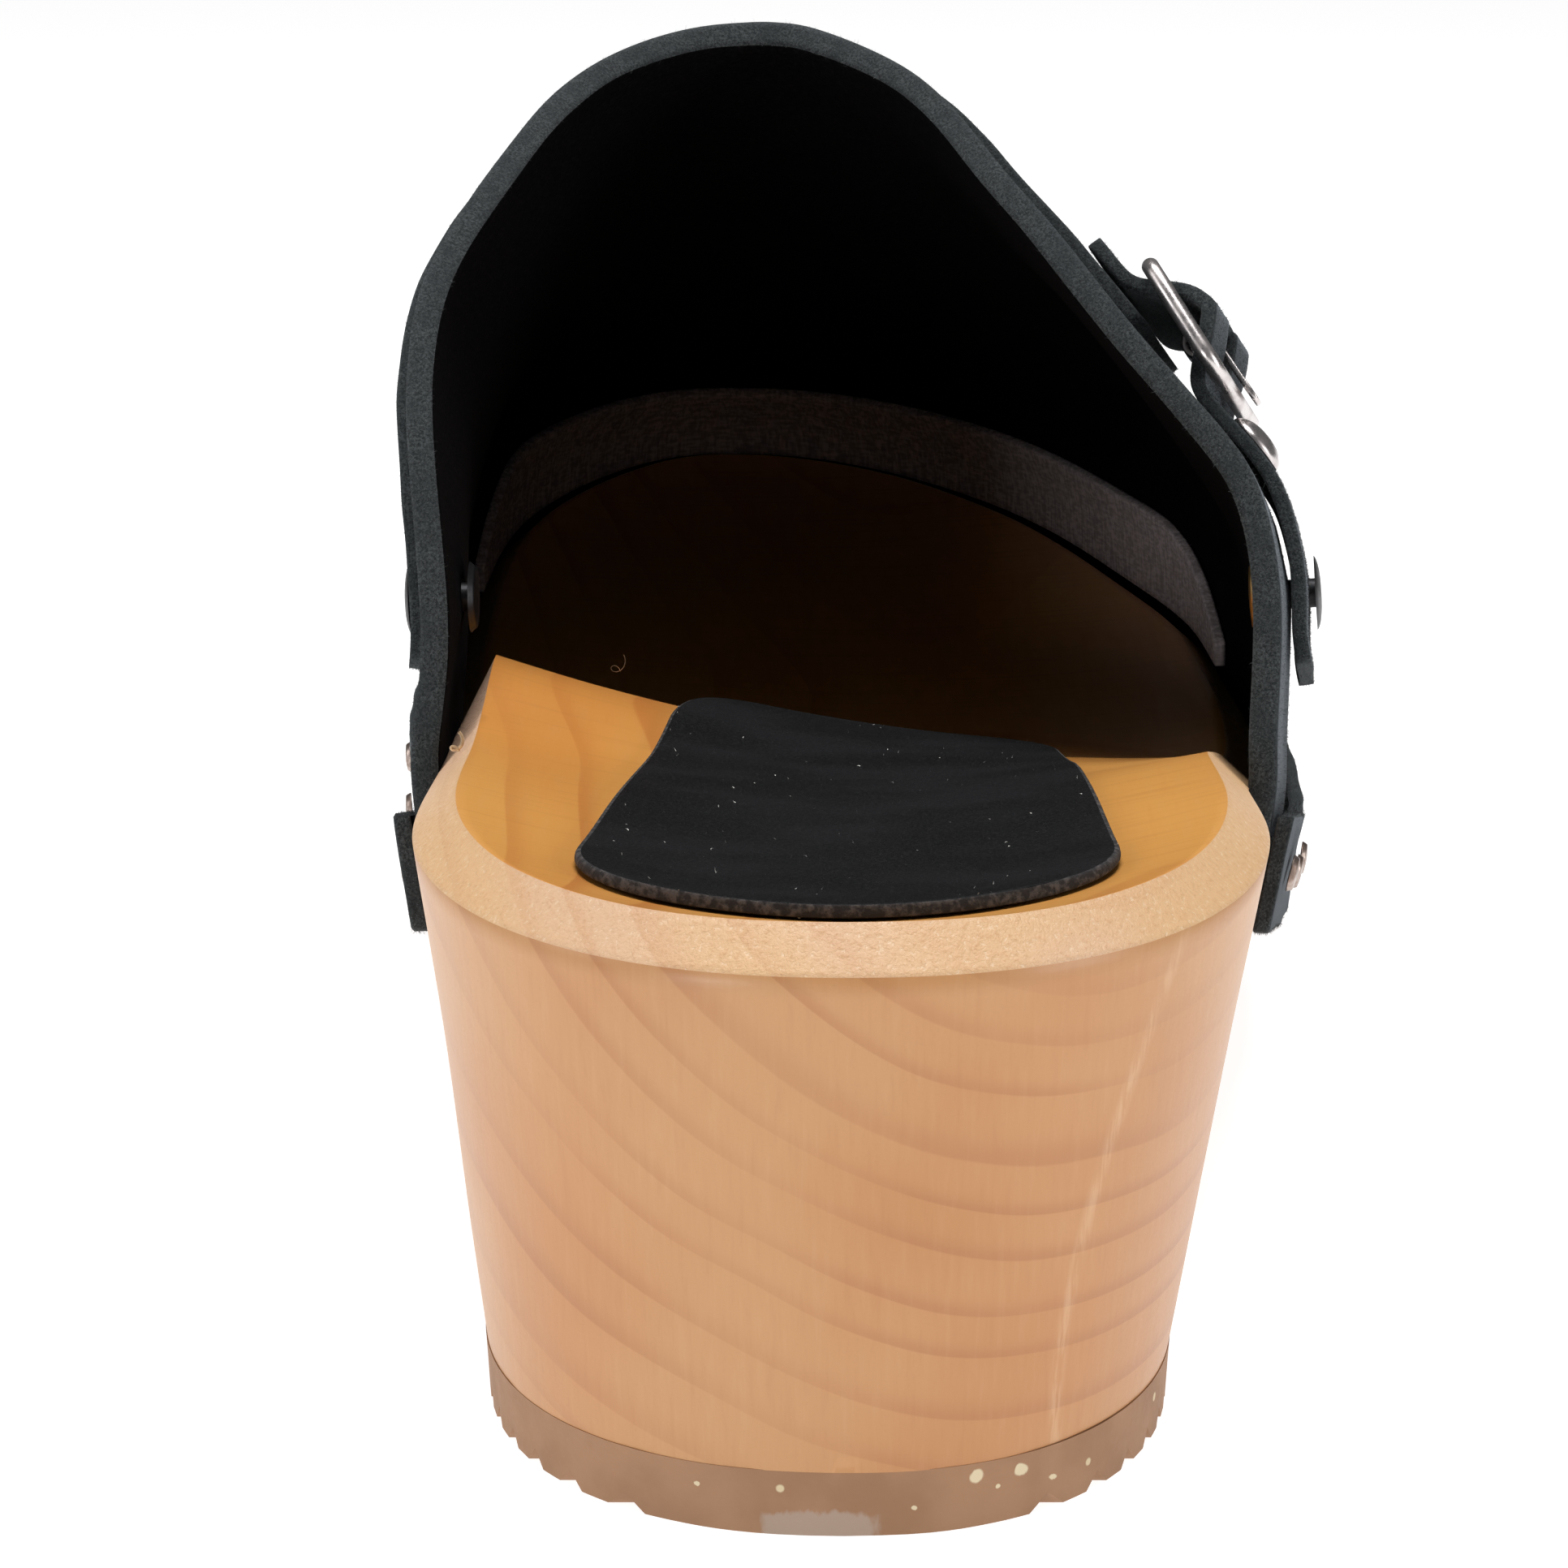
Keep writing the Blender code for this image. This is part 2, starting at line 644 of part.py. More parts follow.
def nails(steel, parent):
    """Nail heads at even steps along the strip."""
    turns = np.linspace(COLLAR_STATION / SOLE_STATIONS, 2 - COLLAR_STATION / SOLE_STATIONS, 400)
    out = GAP + WALL + GAP + STRIP_THICKNESS + GAP
    path = [margin_point(turn, STRIP_HEIGHT / 2, out) for turn in turns]
    lengths = np.concatenate(([0], np.cumsum([(b - a).length for a, b in zip(path, path[1:])])))
    count = int((lengths[-1] - 2 * NAIL_INSET) / NAIL_PITCH) + 1
    head = lathe("nail_head", (
        (0, 0),
        (NAIL_HEAD_RADIUS, 0),
        (0.85 * NAIL_HEAD_RADIUS, 0.65 * NAIL_HEAD_RISE),
        (0, NAIL_HEAD_RISE),
    ), steps=10)
    head.materials.append(steel)
    for i, along in enumerate(np.linspace(NAIL_INSET, lengths[-1] - NAIL_INSET, count)):
        turn = float(np.interp(along, lengths, turns))
        centre = margin_point(turn, STRIP_HEIGHT / 2, out)
        up = margin_point(turn, STRIP_HEIGHT, out) - margin_point(turn, 0, out)
        ahead = margin_point(turn + 0.004, STRIP_HEIGHT / 2, out) - margin_point(turn - 0.004, STRIP_HEIGHT / 2, out)
        nail = bpy.data.objects.new(f"nail_{i + 1:02d}", head)
        nail.matrix_basis = facing(centre, ahead.cross(up), up)
        nail.parent = parent
        bpy.context.scene.collection.objects.link(nail)


# Straps

class StrapPath:
    """The line that the straps follow over the instep. Distances along it are 0 on the ridge, negative on the
    medial side and positive on the lateral side; across is 0 at the strap's rear edge."""

    def __init__(self):
        levels = np.linspace(0, TOP_LEVEL, 66)
        self.places = [(MEDIAL, level) for level in levels] + [(LATERAL, level) for level in levels[-2::-1]]
        self.ahead = {place: self.ahead_of_collar(*place) for place in self.places}
        centres = [self.surface(place, STRAP_WIDTH / 2) for place in self.places]
        lengths = np.concatenate(([0], np.cumsum([(b - a).length for a, b in zip(centres, centres[1:])])))
        self.lengths = lengths - lengths[len(levels) - 1]
        self.heights = np.array([centre.z for centre in centres])
        self.skews = [self.skew(i, centres) for i in range(len(centres))]
        self.top = len(levels) - 1

    def ahead_of_collar(self, side, level):
        """The shares of the ribs at a level, and how far each stands ahead of the collar's edge."""
        high, low = min(level + 0.1, TOP_LEVEL), max(level - 0.1, 0)
        edge = (upper_surface(side, 0, high) - upper_surface(side, 0, low)).normalized()
        shares = np.linspace(0, 0.4, 33)
        points = [upper_surface(side, share, level) for share in shares]
        slant = edge.cross((points[1] - points[0]).normalized()).length
        steps = [(b - a).length * slant for a, b in zip(points, points[1:])]
        return shares, np.concatenate(([0], np.cumsum(steps)))

    def skew(self, i, centres):
        """How far a level line runs along the path for each step across it."""
        along = centres[min(i + 2, len(centres) - 1)] - centres[max(i - 2, 0)]
        across = self.surface(self.places[i], STRAP_WIDTH) - self.surface(self.places[i], 0)
        return across.dot(along.normalized()) / STRAP_WIDTH

    def share(self, place, across):
        shares, ahead = self.ahead[place]
        return float(np.interp(STRAP_SETBACK + across, ahead, shares))

    def surface(self, place, across):
        side, level = place
        return upper_surface(side, self.share(place, across), level)

    def distance(self, side, height):
        """The distance along the path where it is at a height above the floor."""
        if side == MEDIAL:
            return float(np.interp(height, self.heights[:self.top + 1], self.lengths[:self.top + 1]))
        return float(np.interp(-height, -self.heights[self.top:], self.lengths[self.top:]))

    def point(self, distance, across, lift=0.0):
        """A point at a height over the upper's outer face, square across from the path, and the normal there."""
        distance -= float(np.interp(distance, self.lengths, self.skews)) * (across - STRAP_WIDTH / 2)
        i = min(max(int(np.searchsorted(self.lengths, distance)), 1), len(self.places) - 1)
        share = (distance - self.lengths[i - 1]) / (self.lengths[i] - self.lengths[i - 1])
        ends = []
        for place in (self.places[i - 1], self.places[i]):
            rib = self.share(place, across)
            ends.append((upper_surface(place[0], rib, place[1]), upper_normal(place[0], rib, place[1])))
        normal = ends[0][1].lerp(ends[1][1], share).normalized()
        return ends[0][0].lerp(ends[1][0], share) + normal * lift, normal


def strap_rows(path, distances, lift_of, first_round, last_round):
    """Rows of points on a strap's inner face, its ends rounded to the two radii."""
    rows = []
    for distance in distances:
        first = round_end(distance - distances[0], first_round, 2)
        last = round_end(distances[-1] - distance, last_round, 2)
        inset = max(first_round * (1 - first), last_round * (1 - last))
        edges = np.linspace(STRAP_WIDTH - inset, inset, 5)
        rows.append([path.point(distance, across, lift_of(distance))[0] for across in edges])
    return rows


def spaced(begin, end, first_round, last_round, step=0.0038):
    """Distances from begin to end, closer together where the ends are rounded."""
    inner = np.linspace(begin + first_round, end - last_round, int((end - begin) / step) + 1)
    first = [begin + first_round * (i / 3) ** 2 for i in range(3)]
    last = [end - last_round * (i / 3) ** 2 for i in range(2, -1, -1)]
    return first + list(inner) + last


def instep_strap(path, buckle_at, leather, parent):
    begin = path.distance(MEDIAL, STRAP_END_HEIGHT)
    end = buckle_at - CURL_RADIUS - 2 * GAP
    distances = spaced(begin, end, ROUND_END, SQUARE_END)
    rows = strap_rows(path, distances, lambda distance: GAP, ROUND_END, SQUARE_END)
    return sheet_object("instep_strap", rows, STRAP_THICKNESS, leather, parent, outwards=True)


def buckle_strap(path, buckle_at, bar_lift, leather, parent):
    """The strap that comes up from the lateral side, over the buckle's bar and out under its upper end."""
    begin = buckle_at - FRAME_LENGTH / 2 - TAIL_LENGTH
    end = path.distance(LATERAL, STRAP_END_HEIGHT)
    window = FRAME_LENGTH / 2 - FRAME_BAR + GAP
    on_instep_strap = GAP + STRAP_THICKNESS + GAP
    lift = Curve(
        (begin, buckle_at - window, buckle_at, buckle_at + window, end - RIVET_HEAD_RADIUS, end),
        (on_instep_strap, on_instep_strap, bar_lift + CURL_RADIUS + GAP, GAP, GAP, GAP + END_FLARE),
    )
    distances = spaced(begin, end, SQUARE_END, SQUARE_END, step=0.0017)
    rows = strap_rows(path, distances, lift, SQUARE_END, SQUARE_END)
    return sheet_object("buckle_strap", rows, STRAP_THICKNESS, leather, parent, outwards=True)


# Buckle

def buckle_place(path, buckle_at):
    """The middle of the frame's inner face. X runs down along the strap, Y forward, Z away from the foot."""
    half = FRAME_LENGTH / 2
    top, _ = path.point(buckle_at - half, STRAP_WIDTH / 2, TOP_STAND_OFF)
    low, _ = path.point(buckle_at + half, STRAP_WIDTH / 2, LOWER_STAND_OFF)
    rear, _ = path.point(buckle_at, 0)
    front, _ = path.point(buckle_at, STRAP_WIDTH)
    down = (low - top).normalized()
    return facing((top + low) / 2, down.cross(front - rear), down)


def rounded_rectangle(length, width, corner, z, steps=4):
    points = []
    for i in range(4):
        middle_x = (length / 2 - corner) * (1 if i in (0, 3) else -1)
        middle_y = (width / 2 - corner) * (1 if i in (0, 1) else -1)
        for j in range(steps + 1):
            angle = math.pi / 2 * (i + j / steps)
            points.append(Vector((middle_x + corner * math.cos(angle), middle_y + corner * math.sin(angle), z)))
    return points


def buckle_frame(place, steel, parent):
    """A flat ring with rounded corners and a round bar across its middle."""
    inset = FRAME_CHAMFER
    section = (
        (0, inset), (inset, 0), (FRAME_BAR - inset, 0), (FRAME_BAR, inset),
        (FRAME_BAR, FRAME_DEPTH - inset), (FRAME_BAR - inset, FRAME_DEPTH), (inset, FRAME_DEPTH), (0, FRAME_DEPTH - inset),
    )
    loops = [
        rounded_rectangle(FRAME_LENGTH - 2 * into, FRAME_WIDTH - 2 * into, FRAME_CORNER - into, z)
        for into, z in section
    ]
    points, faces = skin(loops + [loops[0]])
    frame = add_object("buckle_frame", mesh_of("buckle_frame", points, faces), steel, parent)
    frame.matrix_basis = place
    half_bar = FRAME_WIDTH / 2 - FRAME_BAR / 2
    bar = add_object("buckle_bar", lathe("buckle_bar", (
        (0, -half_bar), (BAR_RADIUS, -half_bar), (BAR_RADIUS, half_bar), (0, half_bar),
    )), steel, frame)
    bar.matrix_basis = Matrix.Translation((0, 0, FRAME_DEPTH / 2)) @ Matrix.Rotation(math.pi / 2, 4, "X")
    combine(frame, bar, "UNION")


def buckle_prong(place, steel, parent):
    """A strip of metal curled round the bar, its tip resting on the frame's lower end."""
    middle = CURL_RADIUS - PRONG_THICKNESS / 2
    rise = FRAME_DEPTH / 2 + GAP + PRONG_THICKNESS / 2
    reach = FRAME_LENGTH / 2 + PRONG_OVERHANG
    line = []
    for i in range(13):
        angle = math.radians(mix(340, 100, i / 12))
        line.append((middle * math.cos(angle), middle * math.sin(angle)))
    line += [(mix(0, reach, share), mix(middle, rise + 0.0002, share)) for share in (0.12, 0.4, 0.7, 1)]
    loops = []
    for i, (x, z) in enumerate(line):
        before, after = line[max(i - 1, 0)], line[min(i + 1, len(line) - 1)]
        along = Vector((after[0] - before[0], 0, after[1] - before[1])).normalized()
        out = Vector((-along.z, 0, along.x)) * PRONG_THICKNESS / 2
        across = Vector((0, PRONG_WIDTH / 2, 0))
        centre = Vector((x, 0, z + FRAME_DEPTH / 2))
        loops.append([centre + out + across, centre + out - across, centre - out - across, centre - out + across])
    points, faces = skin(loops, cap_first=True, cap_last=True)
    prong = add_object("buckle_prong", mesh_of("buckle_prong", points, faces), steel, parent)
    prong.matrix_basis = place


def prong_hole(place, strap, parent):
    """The slot in the buckle strap where the prong comes through."""
    slot = bpy.data.meshes.new("prong_slot")
    shape = bmesh.new()
    size = (SLOT_LENGTH, PRONG_WIDTH + 4 * GAP, SLOT_DEPTH)
    bmesh.ops.create_cube(shape, size=1, matrix=Matrix.Diagonal((*size, 1)))
    shape.to_mesh(slot)
    shape.free()
    cutter = bpy.data.objects.new("prong_slot", slot)
    cutter.parent = parent
    bpy.context.scene.collection.objects.link(cutter)
    base = FRAME_DEPTH / 2 + CURL_RADIUS - PRONG_THICKNESS - 2 * GAP
    cutter.matrix_basis = place @ Matrix.Translation((SLOT_LENGTH / 2, 0, base + SLOT_DEPTH / 2))
    combine(strap, cutter, "DIFFERENCE")


# Rivets

def rivet(name, path, distance, holed, metal, parent):
    """A rivet through a strap and the upper, with a domed head outside and a flatter cap inside."""
    centre, normal = path.point(distance, STRAP_WIDTH / 2)
    below, _ = path.point(distance + 0.002, STRAP_WIDTH / 2)
    head = GAP + STRAP_THICKNESS + 2 * GAP
    cap = -WALL - 2 * GAP
    mesh = lathe(name, (
        (0, head + RIVET_HEAD_RISE),
        (0.55 * RIVET_HEAD_RADIUS, head + 0.85 * RIVET_HEAD_RISE),
        (0.90 * RIVET_HEAD_RADIUS, head + 0.45 * RIVET_HEAD_RISE),
        (RIVET_HEAD_RADIUS, head),
        (RIVET_SHANK_RADIUS, head),
        (RIVET_SHANK_RADIUS, cap),
        (RIVET_CAP_RADIUS, cap),
        (0.85 * RIVET_CAP_RADIUS, cap - 0.7 * RIVET_CAP_RISE),
        (0, cap - RIVET_CAP_RISE),
    ), steps=16)
    made = add_object(name, mesh, metal, parent)
    made.matrix_basis = facing(centre, normal, below - centre)
    reach = 2 * WALL
    hole = add_object(f"{name}_hole", lathe(f"{name}_hole", (
        (0, -reach), (RIVET_SHANK_RADIUS + GAP, -reach), (RIVET_SHANK_RADIUS + GAP, reach), (0, reach),
    ), steps=16), metal, made)
    for leather in holed:
        combine(leather, hole, "DIFFERENCE")


def stud(path, distance, metal, parent):
    """A domed stud on the buckle strap, below the buckle."""
    centre, normal = path.point(distance, STRAP_WIDTH / 2, GAP + STRAP_THICKNESS + GAP)
    below, _ = path.point(distance + 0.002, STRAP_WIDTH / 2, GAP + STRAP_THICKNESS + GAP)
    mesh = lathe("strap_stud", (
        (0, STUD_RISE),
        (0.55 * STUD_RADIUS, 0.85 * STUD_RISE),
        (0.90 * STUD_RADIUS, 0.45 * STUD_RISE),
        (STUD_RADIUS, 0.0003),
        (STUD_RADIUS, 0),
        (0, 0),
    ), steps=16)
    add_object("strap_stud", mesh, metal, parent).matrix_basis = facing(centre, normal, below - centre)


# Heel pad and toe band

def footbed_height(x, y):
    """The footbed's height at a place in plan."""
    station, across = y, 0.5
    for _ in range(8):
        point = footbed_point(station, across)
        width = footbed_point(station, 1).x - footbed_point(station, 0).x
        across += (x - point.x) / width
        station += y - point.y
    return footbed_point(station, across).z


def heel_pad(leather, parent):
    rows = []
    edges = [PAD_CORNER * (i / 3) ** 2 for i in range(4)]
    lengths = edges + list(np.linspace(PAD_CORNER, PAD_LENGTH - PAD_CORNER, 16))[1:-1]
    lengths += [PAD_LENGTH - edge for edge in edges[::-1]]
    for length in lengths:
        share = length / PAD_LENGTH
        corner = round_end(length, PAD_CORNER, 2) * round_end(PAD_LENGTH - length, PAD_CORNER, 2)
        half = mix(PAD_REAR_WIDTH, PAD_FRONT_WIDTH, share) / 2 - PAD_CORNER * (1 - corner)
        row = []
        for across in np.linspace(-1, 1, 9):
            bow = mix(PAD_REAR_BOW, -PAD_FRONT_BOW, share) * (2 * across * half / PAD_REAR_WIDTH) ** 2
            x, y = PAD_SHIFT * share + across * half, PAD_SETBACK + length + bow
            row.append(Vector((x, y, footbed_height(x, y) + GAP)))
        rows.append(row)
    sheet_object("heel_pad", rows, PAD_THICKNESS, leather, parent, outwards=True)


def toe_band(felt, parent):
    """A low band round the toe, against the inside of the upper, its ends cut on a slant."""
    rows = []
    for side, share in rib_shares():
        start = BAND_MEDIAL_START if side == MEDIAL else BAND_LATERAL_START
        y = outline(rib_turn(side, share))[1]
        if y < start:
            continue
        height = BAND_HEIGHT * mix(0.12, 1, min((y - start) / BAND_SLANT, 1))
        crest = crest_height(side, y)
        row = []
        for above in np.linspace(0, height, 4):
            level = level_at(side, share, crest + above)
            row.append(upper_surface(side, share, level) - upper_normal(side, share, level) * (WALL + GAP))
        rows.append(row)
    sheet_object("toe_band", rows, BAND_THICKNESS, felt, parent, outwards=False)


def build():
    for old in list(bpy.data.objects):
        bpy.data.objects.remove(old)
    wood = material("wood", (0.78, 0.50, 0.27), 0.45)
    rubber = material("rubber", (0.34, 0.25, 0.18), 0.75)
    leather = material("leather", (0.012, 0.014, 0.016), 0.8)
    suede = material("suede", (0.010, 0.010, 0.012), 0.9)
    felt = material("felt", (0.22, 0.20, 0.21), 0.95)
    steel = material("steel", (0.45, 0.42, 0.43), 0.3, metallic=1.0)
    brass = material("brass", (0.60, 0.38, 0.16), 0.4, metallic=1.0)
    clog = bpy.data.objects.new("clog", None)
    bpy.context.scene.collection.objects.link(clog)

    wooden_sole(wood, clog)
    heel_back, toe_tip = lower_outline(0)[1], lower_outline(1)[1]
    tread_piece("heel_tread", heel_back, HEEL_TREAD_LENGTH, True, False, rubber, clog)
    tread_piece("forepart_tread", FOREPART_TREAD_START, toe_tip, False, True, rubber, clog)
    vamp = upper(leather, clog)
    edge_strip(leather, clog)
    nails(steel, clog)

    path = StrapPath()
    buckle_at = path.distance(LATERAL, BUCKLE_HEIGHT)
    place = buckle_place(path, buckle_at)
    under_buckle, normal = path.point(buckle_at, STRAP_WIDTH / 2)
    bar_lift = (place @ Vector((0, 0, FRAME_DEPTH / 2)) - under_buckle).dot(normal)
    over_instep = instep_strap(path, buckle_at, leather, clog)
    through_buckle = buckle_strap(path, buckle_at, bar_lift, leather, clog)
    buckle_frame(place, steel, clog)
    buckle_prong(place, steel, clog)
    prong_hole(place, through_buckle, clog)
    rivet("medial_rivet", path, path.distance(MEDIAL, RIVET_HEIGHT), (vamp, over_instep), brass, clog)
    rivet("lateral_rivet", path, path.distance(LATERAL, RIVET_HEIGHT), (vamp, through_buckle), brass, clog)
    stud(path, buckle_at + FRAME_LENGTH / 2 + STUD_INSET, steel, clog)

    heel_pad(suede, clog)
    toe_band(felt, clog)
    centre_over_floor(clog)


def centre_over_floor(clog):
    """Moves the clog so that the middle of its box is over the origin and its treads are on the floor."""
    bpy.context.view_layer.update()
    graph = bpy.context.evaluated_depsgraph_get()
    corners = []
    for piece in bpy.data.objects:
        if piece.type == "MESH" and not piece.hide_render:
            made = piece.evaluated_get(graph)
            corners += [made.matrix_world @ vertex.co for vertex in made.data.vertices]
    low = [min(corner[i] for corner in corners) for i in range(3)]
    high = [max(corner[i] for corner in corners) for i in range(3)]
    clog.location = (-(low[0] + high[0]) / 2, -(low[1] + high[1]) / 2, -low[2])
    bpy.context.view_layer.update()
    print("clog box", [round(h - l, 4) for l, h in zip(low, high)], "shift", list(clog.location))


build()
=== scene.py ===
# %% [markdown]
# # A wooden clog, dressed
# The clog is a right one: a carved wooden sole on ribbed rubber, a black nubuck upper nailed round its side,
# and a strap with a buckle over the instep. Its pieces come from a fixed frame, each at its size and place.
# This lesson gives every piece its finish, and the fine shapes that the frame leaves out.
# All lengths are in metres, with +Y towards the toe, +X towards the outer side of the foot and +Z up.

import math

import bmesh
import bpy
import numpy as np
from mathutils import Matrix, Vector, noise


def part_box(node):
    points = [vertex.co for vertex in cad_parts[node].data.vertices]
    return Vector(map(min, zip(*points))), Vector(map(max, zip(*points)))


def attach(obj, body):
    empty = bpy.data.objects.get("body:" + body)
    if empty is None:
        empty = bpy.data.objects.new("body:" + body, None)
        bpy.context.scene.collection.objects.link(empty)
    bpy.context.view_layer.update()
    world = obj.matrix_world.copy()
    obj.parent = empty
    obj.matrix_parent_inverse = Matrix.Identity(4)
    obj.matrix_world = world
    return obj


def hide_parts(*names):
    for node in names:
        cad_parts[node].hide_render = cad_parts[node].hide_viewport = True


MM = 0.001
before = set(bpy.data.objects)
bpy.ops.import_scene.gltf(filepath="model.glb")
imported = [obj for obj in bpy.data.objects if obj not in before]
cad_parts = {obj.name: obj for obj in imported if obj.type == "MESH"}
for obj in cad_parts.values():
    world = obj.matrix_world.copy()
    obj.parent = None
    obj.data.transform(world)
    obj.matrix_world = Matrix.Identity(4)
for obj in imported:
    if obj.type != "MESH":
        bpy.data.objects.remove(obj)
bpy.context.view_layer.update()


# %% [markdown]
# ## Where things are
# A few places on the clog are used again and again. They are read from the frame, so that they follow it.

# %% Name the main places
heel_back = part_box("wooden_sole")[0].y
toe_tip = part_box("wooden_sole")[1].y
seat_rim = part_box("wooden_sole")[1].z
collar_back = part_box("upper")[0].y
instep_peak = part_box("upper")[1].z
print("heel", round(heel_back, 4), "toe", round(toe_tip, 4), "instep", round(instep_peak, 4))

# %% [markdown]
# ## The camera
# The clog is seen from behind the heel and a little above, from close by, so that the heel looks broad and
# the toe is hidden. A long lens fills the picture with it from there.

# %% Set the camera
CAMERA_BEHIND_HEEL = 310 * MM
CAMERA_HEIGHT = 147 * MM
CAMERA_ASIDE = -6.4 * MM
CAMERA_DOWN = 15.39
LENS = 100

camera_data = bpy.data.cameras.new("camera")
camera_data.lens = LENS
camera_data.sensor_width = 36
camera_data.clip_start = 0.01
camera_data.clip_end = 50
camera = bpy.data.objects.new("camera", camera_data)
bpy.context.scene.collection.objects.link(camera)
camera.location = (CAMERA_ASIDE, heel_back - CAMERA_BEHIND_HEEL, CAMERA_HEIGHT)
camera.rotation_euler = (math.radians(90 - CAMERA_DOWN), 0, 0)
bpy.context.scene.camera = camera
print("camera at", [round(c, 3) for c in camera.location])

# %% [markdown]
# ## Floor and light
# The picture has a plain white ground. A floor that glows stays white and throws soft light up on the wood,
# as a light table does. A large lamp overhead lights the seat and leaves the inside of the toe in the dark,
# because the leather shades it. A low lamp at the left rear reaches in to the felt, and a lamp at each side
# lightens the wood's flanks.

# %% Make the floor
FLOOR_SIZE = 12
FLOOR_GLOW = 0.86

floor_mesh = bpy.data.meshes.new("floor")
half_floor = FLOOR_SIZE / 2
floor_corners = [(-half_floor, -half_floor, 0), (half_floor, -half_floor, 0)]
floor_corners += [(half_floor, half_floor, 0), (-half_floor, half_floor, 0)]
floor_mesh.from_pydata(floor_corners, [], [(0, 1, 2, 3)])
floor = bpy.data.objects.new("floor", floor_mesh)
bpy.context.scene.collection.objects.link(floor)
floor_paint = bpy.data.materials.new("pale_floor")
floor_paint.use_nodes = True
floor_shader = floor_paint.node_tree.nodes["Principled BSDF"]
floor_shader.inputs["Base Color"].default_value = (0.5, 0.5, 0.5, 1)
floor_shader.inputs["Roughness"].default_value = 0.9
floor_shader.inputs["Specular IOR Level"].default_value = 0.1
floor_shader.inputs["Emission Color"].default_value = (1, 1, 1, 1)
floor_shader.inputs["Emission Strength"].default_value = FLOOR_GLOW
floor_mesh.materials.append(floor_paint)
print("floor", FLOOR_SIZE, "m across")

# %% Light it
SKY = 0.12
LAMPS = (
    # name, place, what it points at, width and height, power in watts
    ("overhead", (0.02, 0.03, 0.85), (0, -0.06, 0), (0.5, 0.4), 6.2),
    ("low_rear", (-0.55, -0.95, 0.17), (0.03, 0.0, 0.05), (0.35, 0.12), 2.2),
    ("left_side", (-0.9, -0.25, 0.5), (0, -0.05, 0.03), (0.4, 0.6), 2.4),
    ("right_side", (0.85, -0.5, 0.3), (0, -0.1, 0.03), (0.4, 0.4), 3.0),
)


def lamp(name, place, target, size, power):
    """A white rectangular lamp at a place, turned towards a target."""
    data = bpy.data.lights.new(name, "AREA")
    data.shape = "RECTANGLE"
    data.size, data.size_y = size
    data.energy = power
    made = bpy.data.objects.new(name, data)
    bpy.context.scene.collection.objects.link(made)
    made.location = place
    made.rotation_euler = (Vector(target) - Vector(place)).to_track_quat("-Z", "Y").to_euler()


world = bpy.data.worlds.new("studio")
world.use_nodes = True
world.node_tree.nodes["Background"].inputs["Color"].default_value = (1, 1, 1, 1)
world.node_tree.nodes["Background"].inputs["Strength"].default_value = SKY
bpy.context.scene.world = world
bpy.context.scene.view_settings.view_transform = "Standard"
for row in LAMPS:
    lamp(*row)
print("lamps:", [row[0] for row in LAMPS])

# %% [markdown]
# ## From flat facets to smooth pieces
# The frame's solids are made of flat triangles. To refine one, its split corners are merged, its triangles
# are joined back into quads, and the quads are grouped into patches that meet only at sharp edges, such as a
# leather's face and its cut edge. Each patch can have its own material. Sharp edges get a crease, and a
# subdivision then rounds everything else. An edge with a full crease stays sharp in the shading too.

# %% Open a node's shape and find its patches
MERGE = 1e-6
SHARP = 40


def open_shape(node):
    """The mesh of a frame node, with its corners merged and its triangles joined into quads."""
    shape = bmesh.new()
    shape.from_mesh(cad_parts[node].data)
    bmesh.ops.remove_doubles(shape, verts=shape.verts, dist=MERGE)
    bmesh.ops.join_triangles(
        shape, faces=shape.faces, cmp_seam=False, cmp_sharp=False, cmp_uvs=False, cmp_vcols=False,
        cmp_materials=False, angle_face_threshold=math.radians(40), angle_shape_threshold=math.radians(75),
        topology_influence=1.0)
    shape.normal_update()
    return shape


def patches(shape, angle=SHARP):
    """The faces in groups that meet only at edges sharper than an angle in degrees, the largest first."""
    left = set(shape.faces)
    groups = []
    while left:
        group = [left.pop()]
        for face in group:
            for edge in face.edges:
                if len(edge.link_faces) == 2 and edge.calc_face_angle(0) < math.radians(angle):
                    fresh = [other for other in edge.link_faces if other in left]
                    left.difference_update(fresh)
                    group.extend(fresh)
        groups.append(group)
    return sorted(groups, key=lambda group: -sum(face.calc_area() for face in group))


sample = open_shape("upper")
print("the upper's patches:", [len(group) for group in patches(sample)])
sample.free()

# %% Close it as a smooth piece
def close_shape(shape, name, surfaces, nodes, crease, levels=2, sharp=SHARP):
    """Subdivides a shape with creases along its sharp edges, and adds it as a piece in place of the nodes."""
    layer = shape.edges.layers.float.get("crease_edge") or shape.edges.layers.float.new("crease_edge")
    for edge in shape.edges:
        parted = len({face.material_index for face in edge.link_faces}) > 1
        if parted or edge.calc_face_angle(0) > math.radians(sharp):
            edge[layer] = crease
    mesh = bpy.data.meshes.new(name)
    shape.to_mesh(mesh)
    shape.free()
    mesh.shade_smooth()
    piece = bpy.data.objects.new(name, mesh)
    bpy.context.scene.collection.objects.link(piece)
    for surface in surfaces:
        mesh.materials.append(surface)
    smoother = piece.modifiers.new("smooth", "SUBSURF")
    smoother.levels = levels
    smoother.render_levels = levels
    smoother.boundary_smooth = "PRESERVE_CORNERS"
    made = bpy.data.meshes.new_from_object(piece.evaluated_get(bpy.context.evaluated_depsgraph_get()))
    piece.modifiers.clear()
    piece.data = made
    made.name = name
    if crease == 1:
        made.set_sharp_from_angle(angle=math.radians(sharp))
    bpy.data.meshes.remove(mesh)
    join_frame(piece, nodes)
    return piece


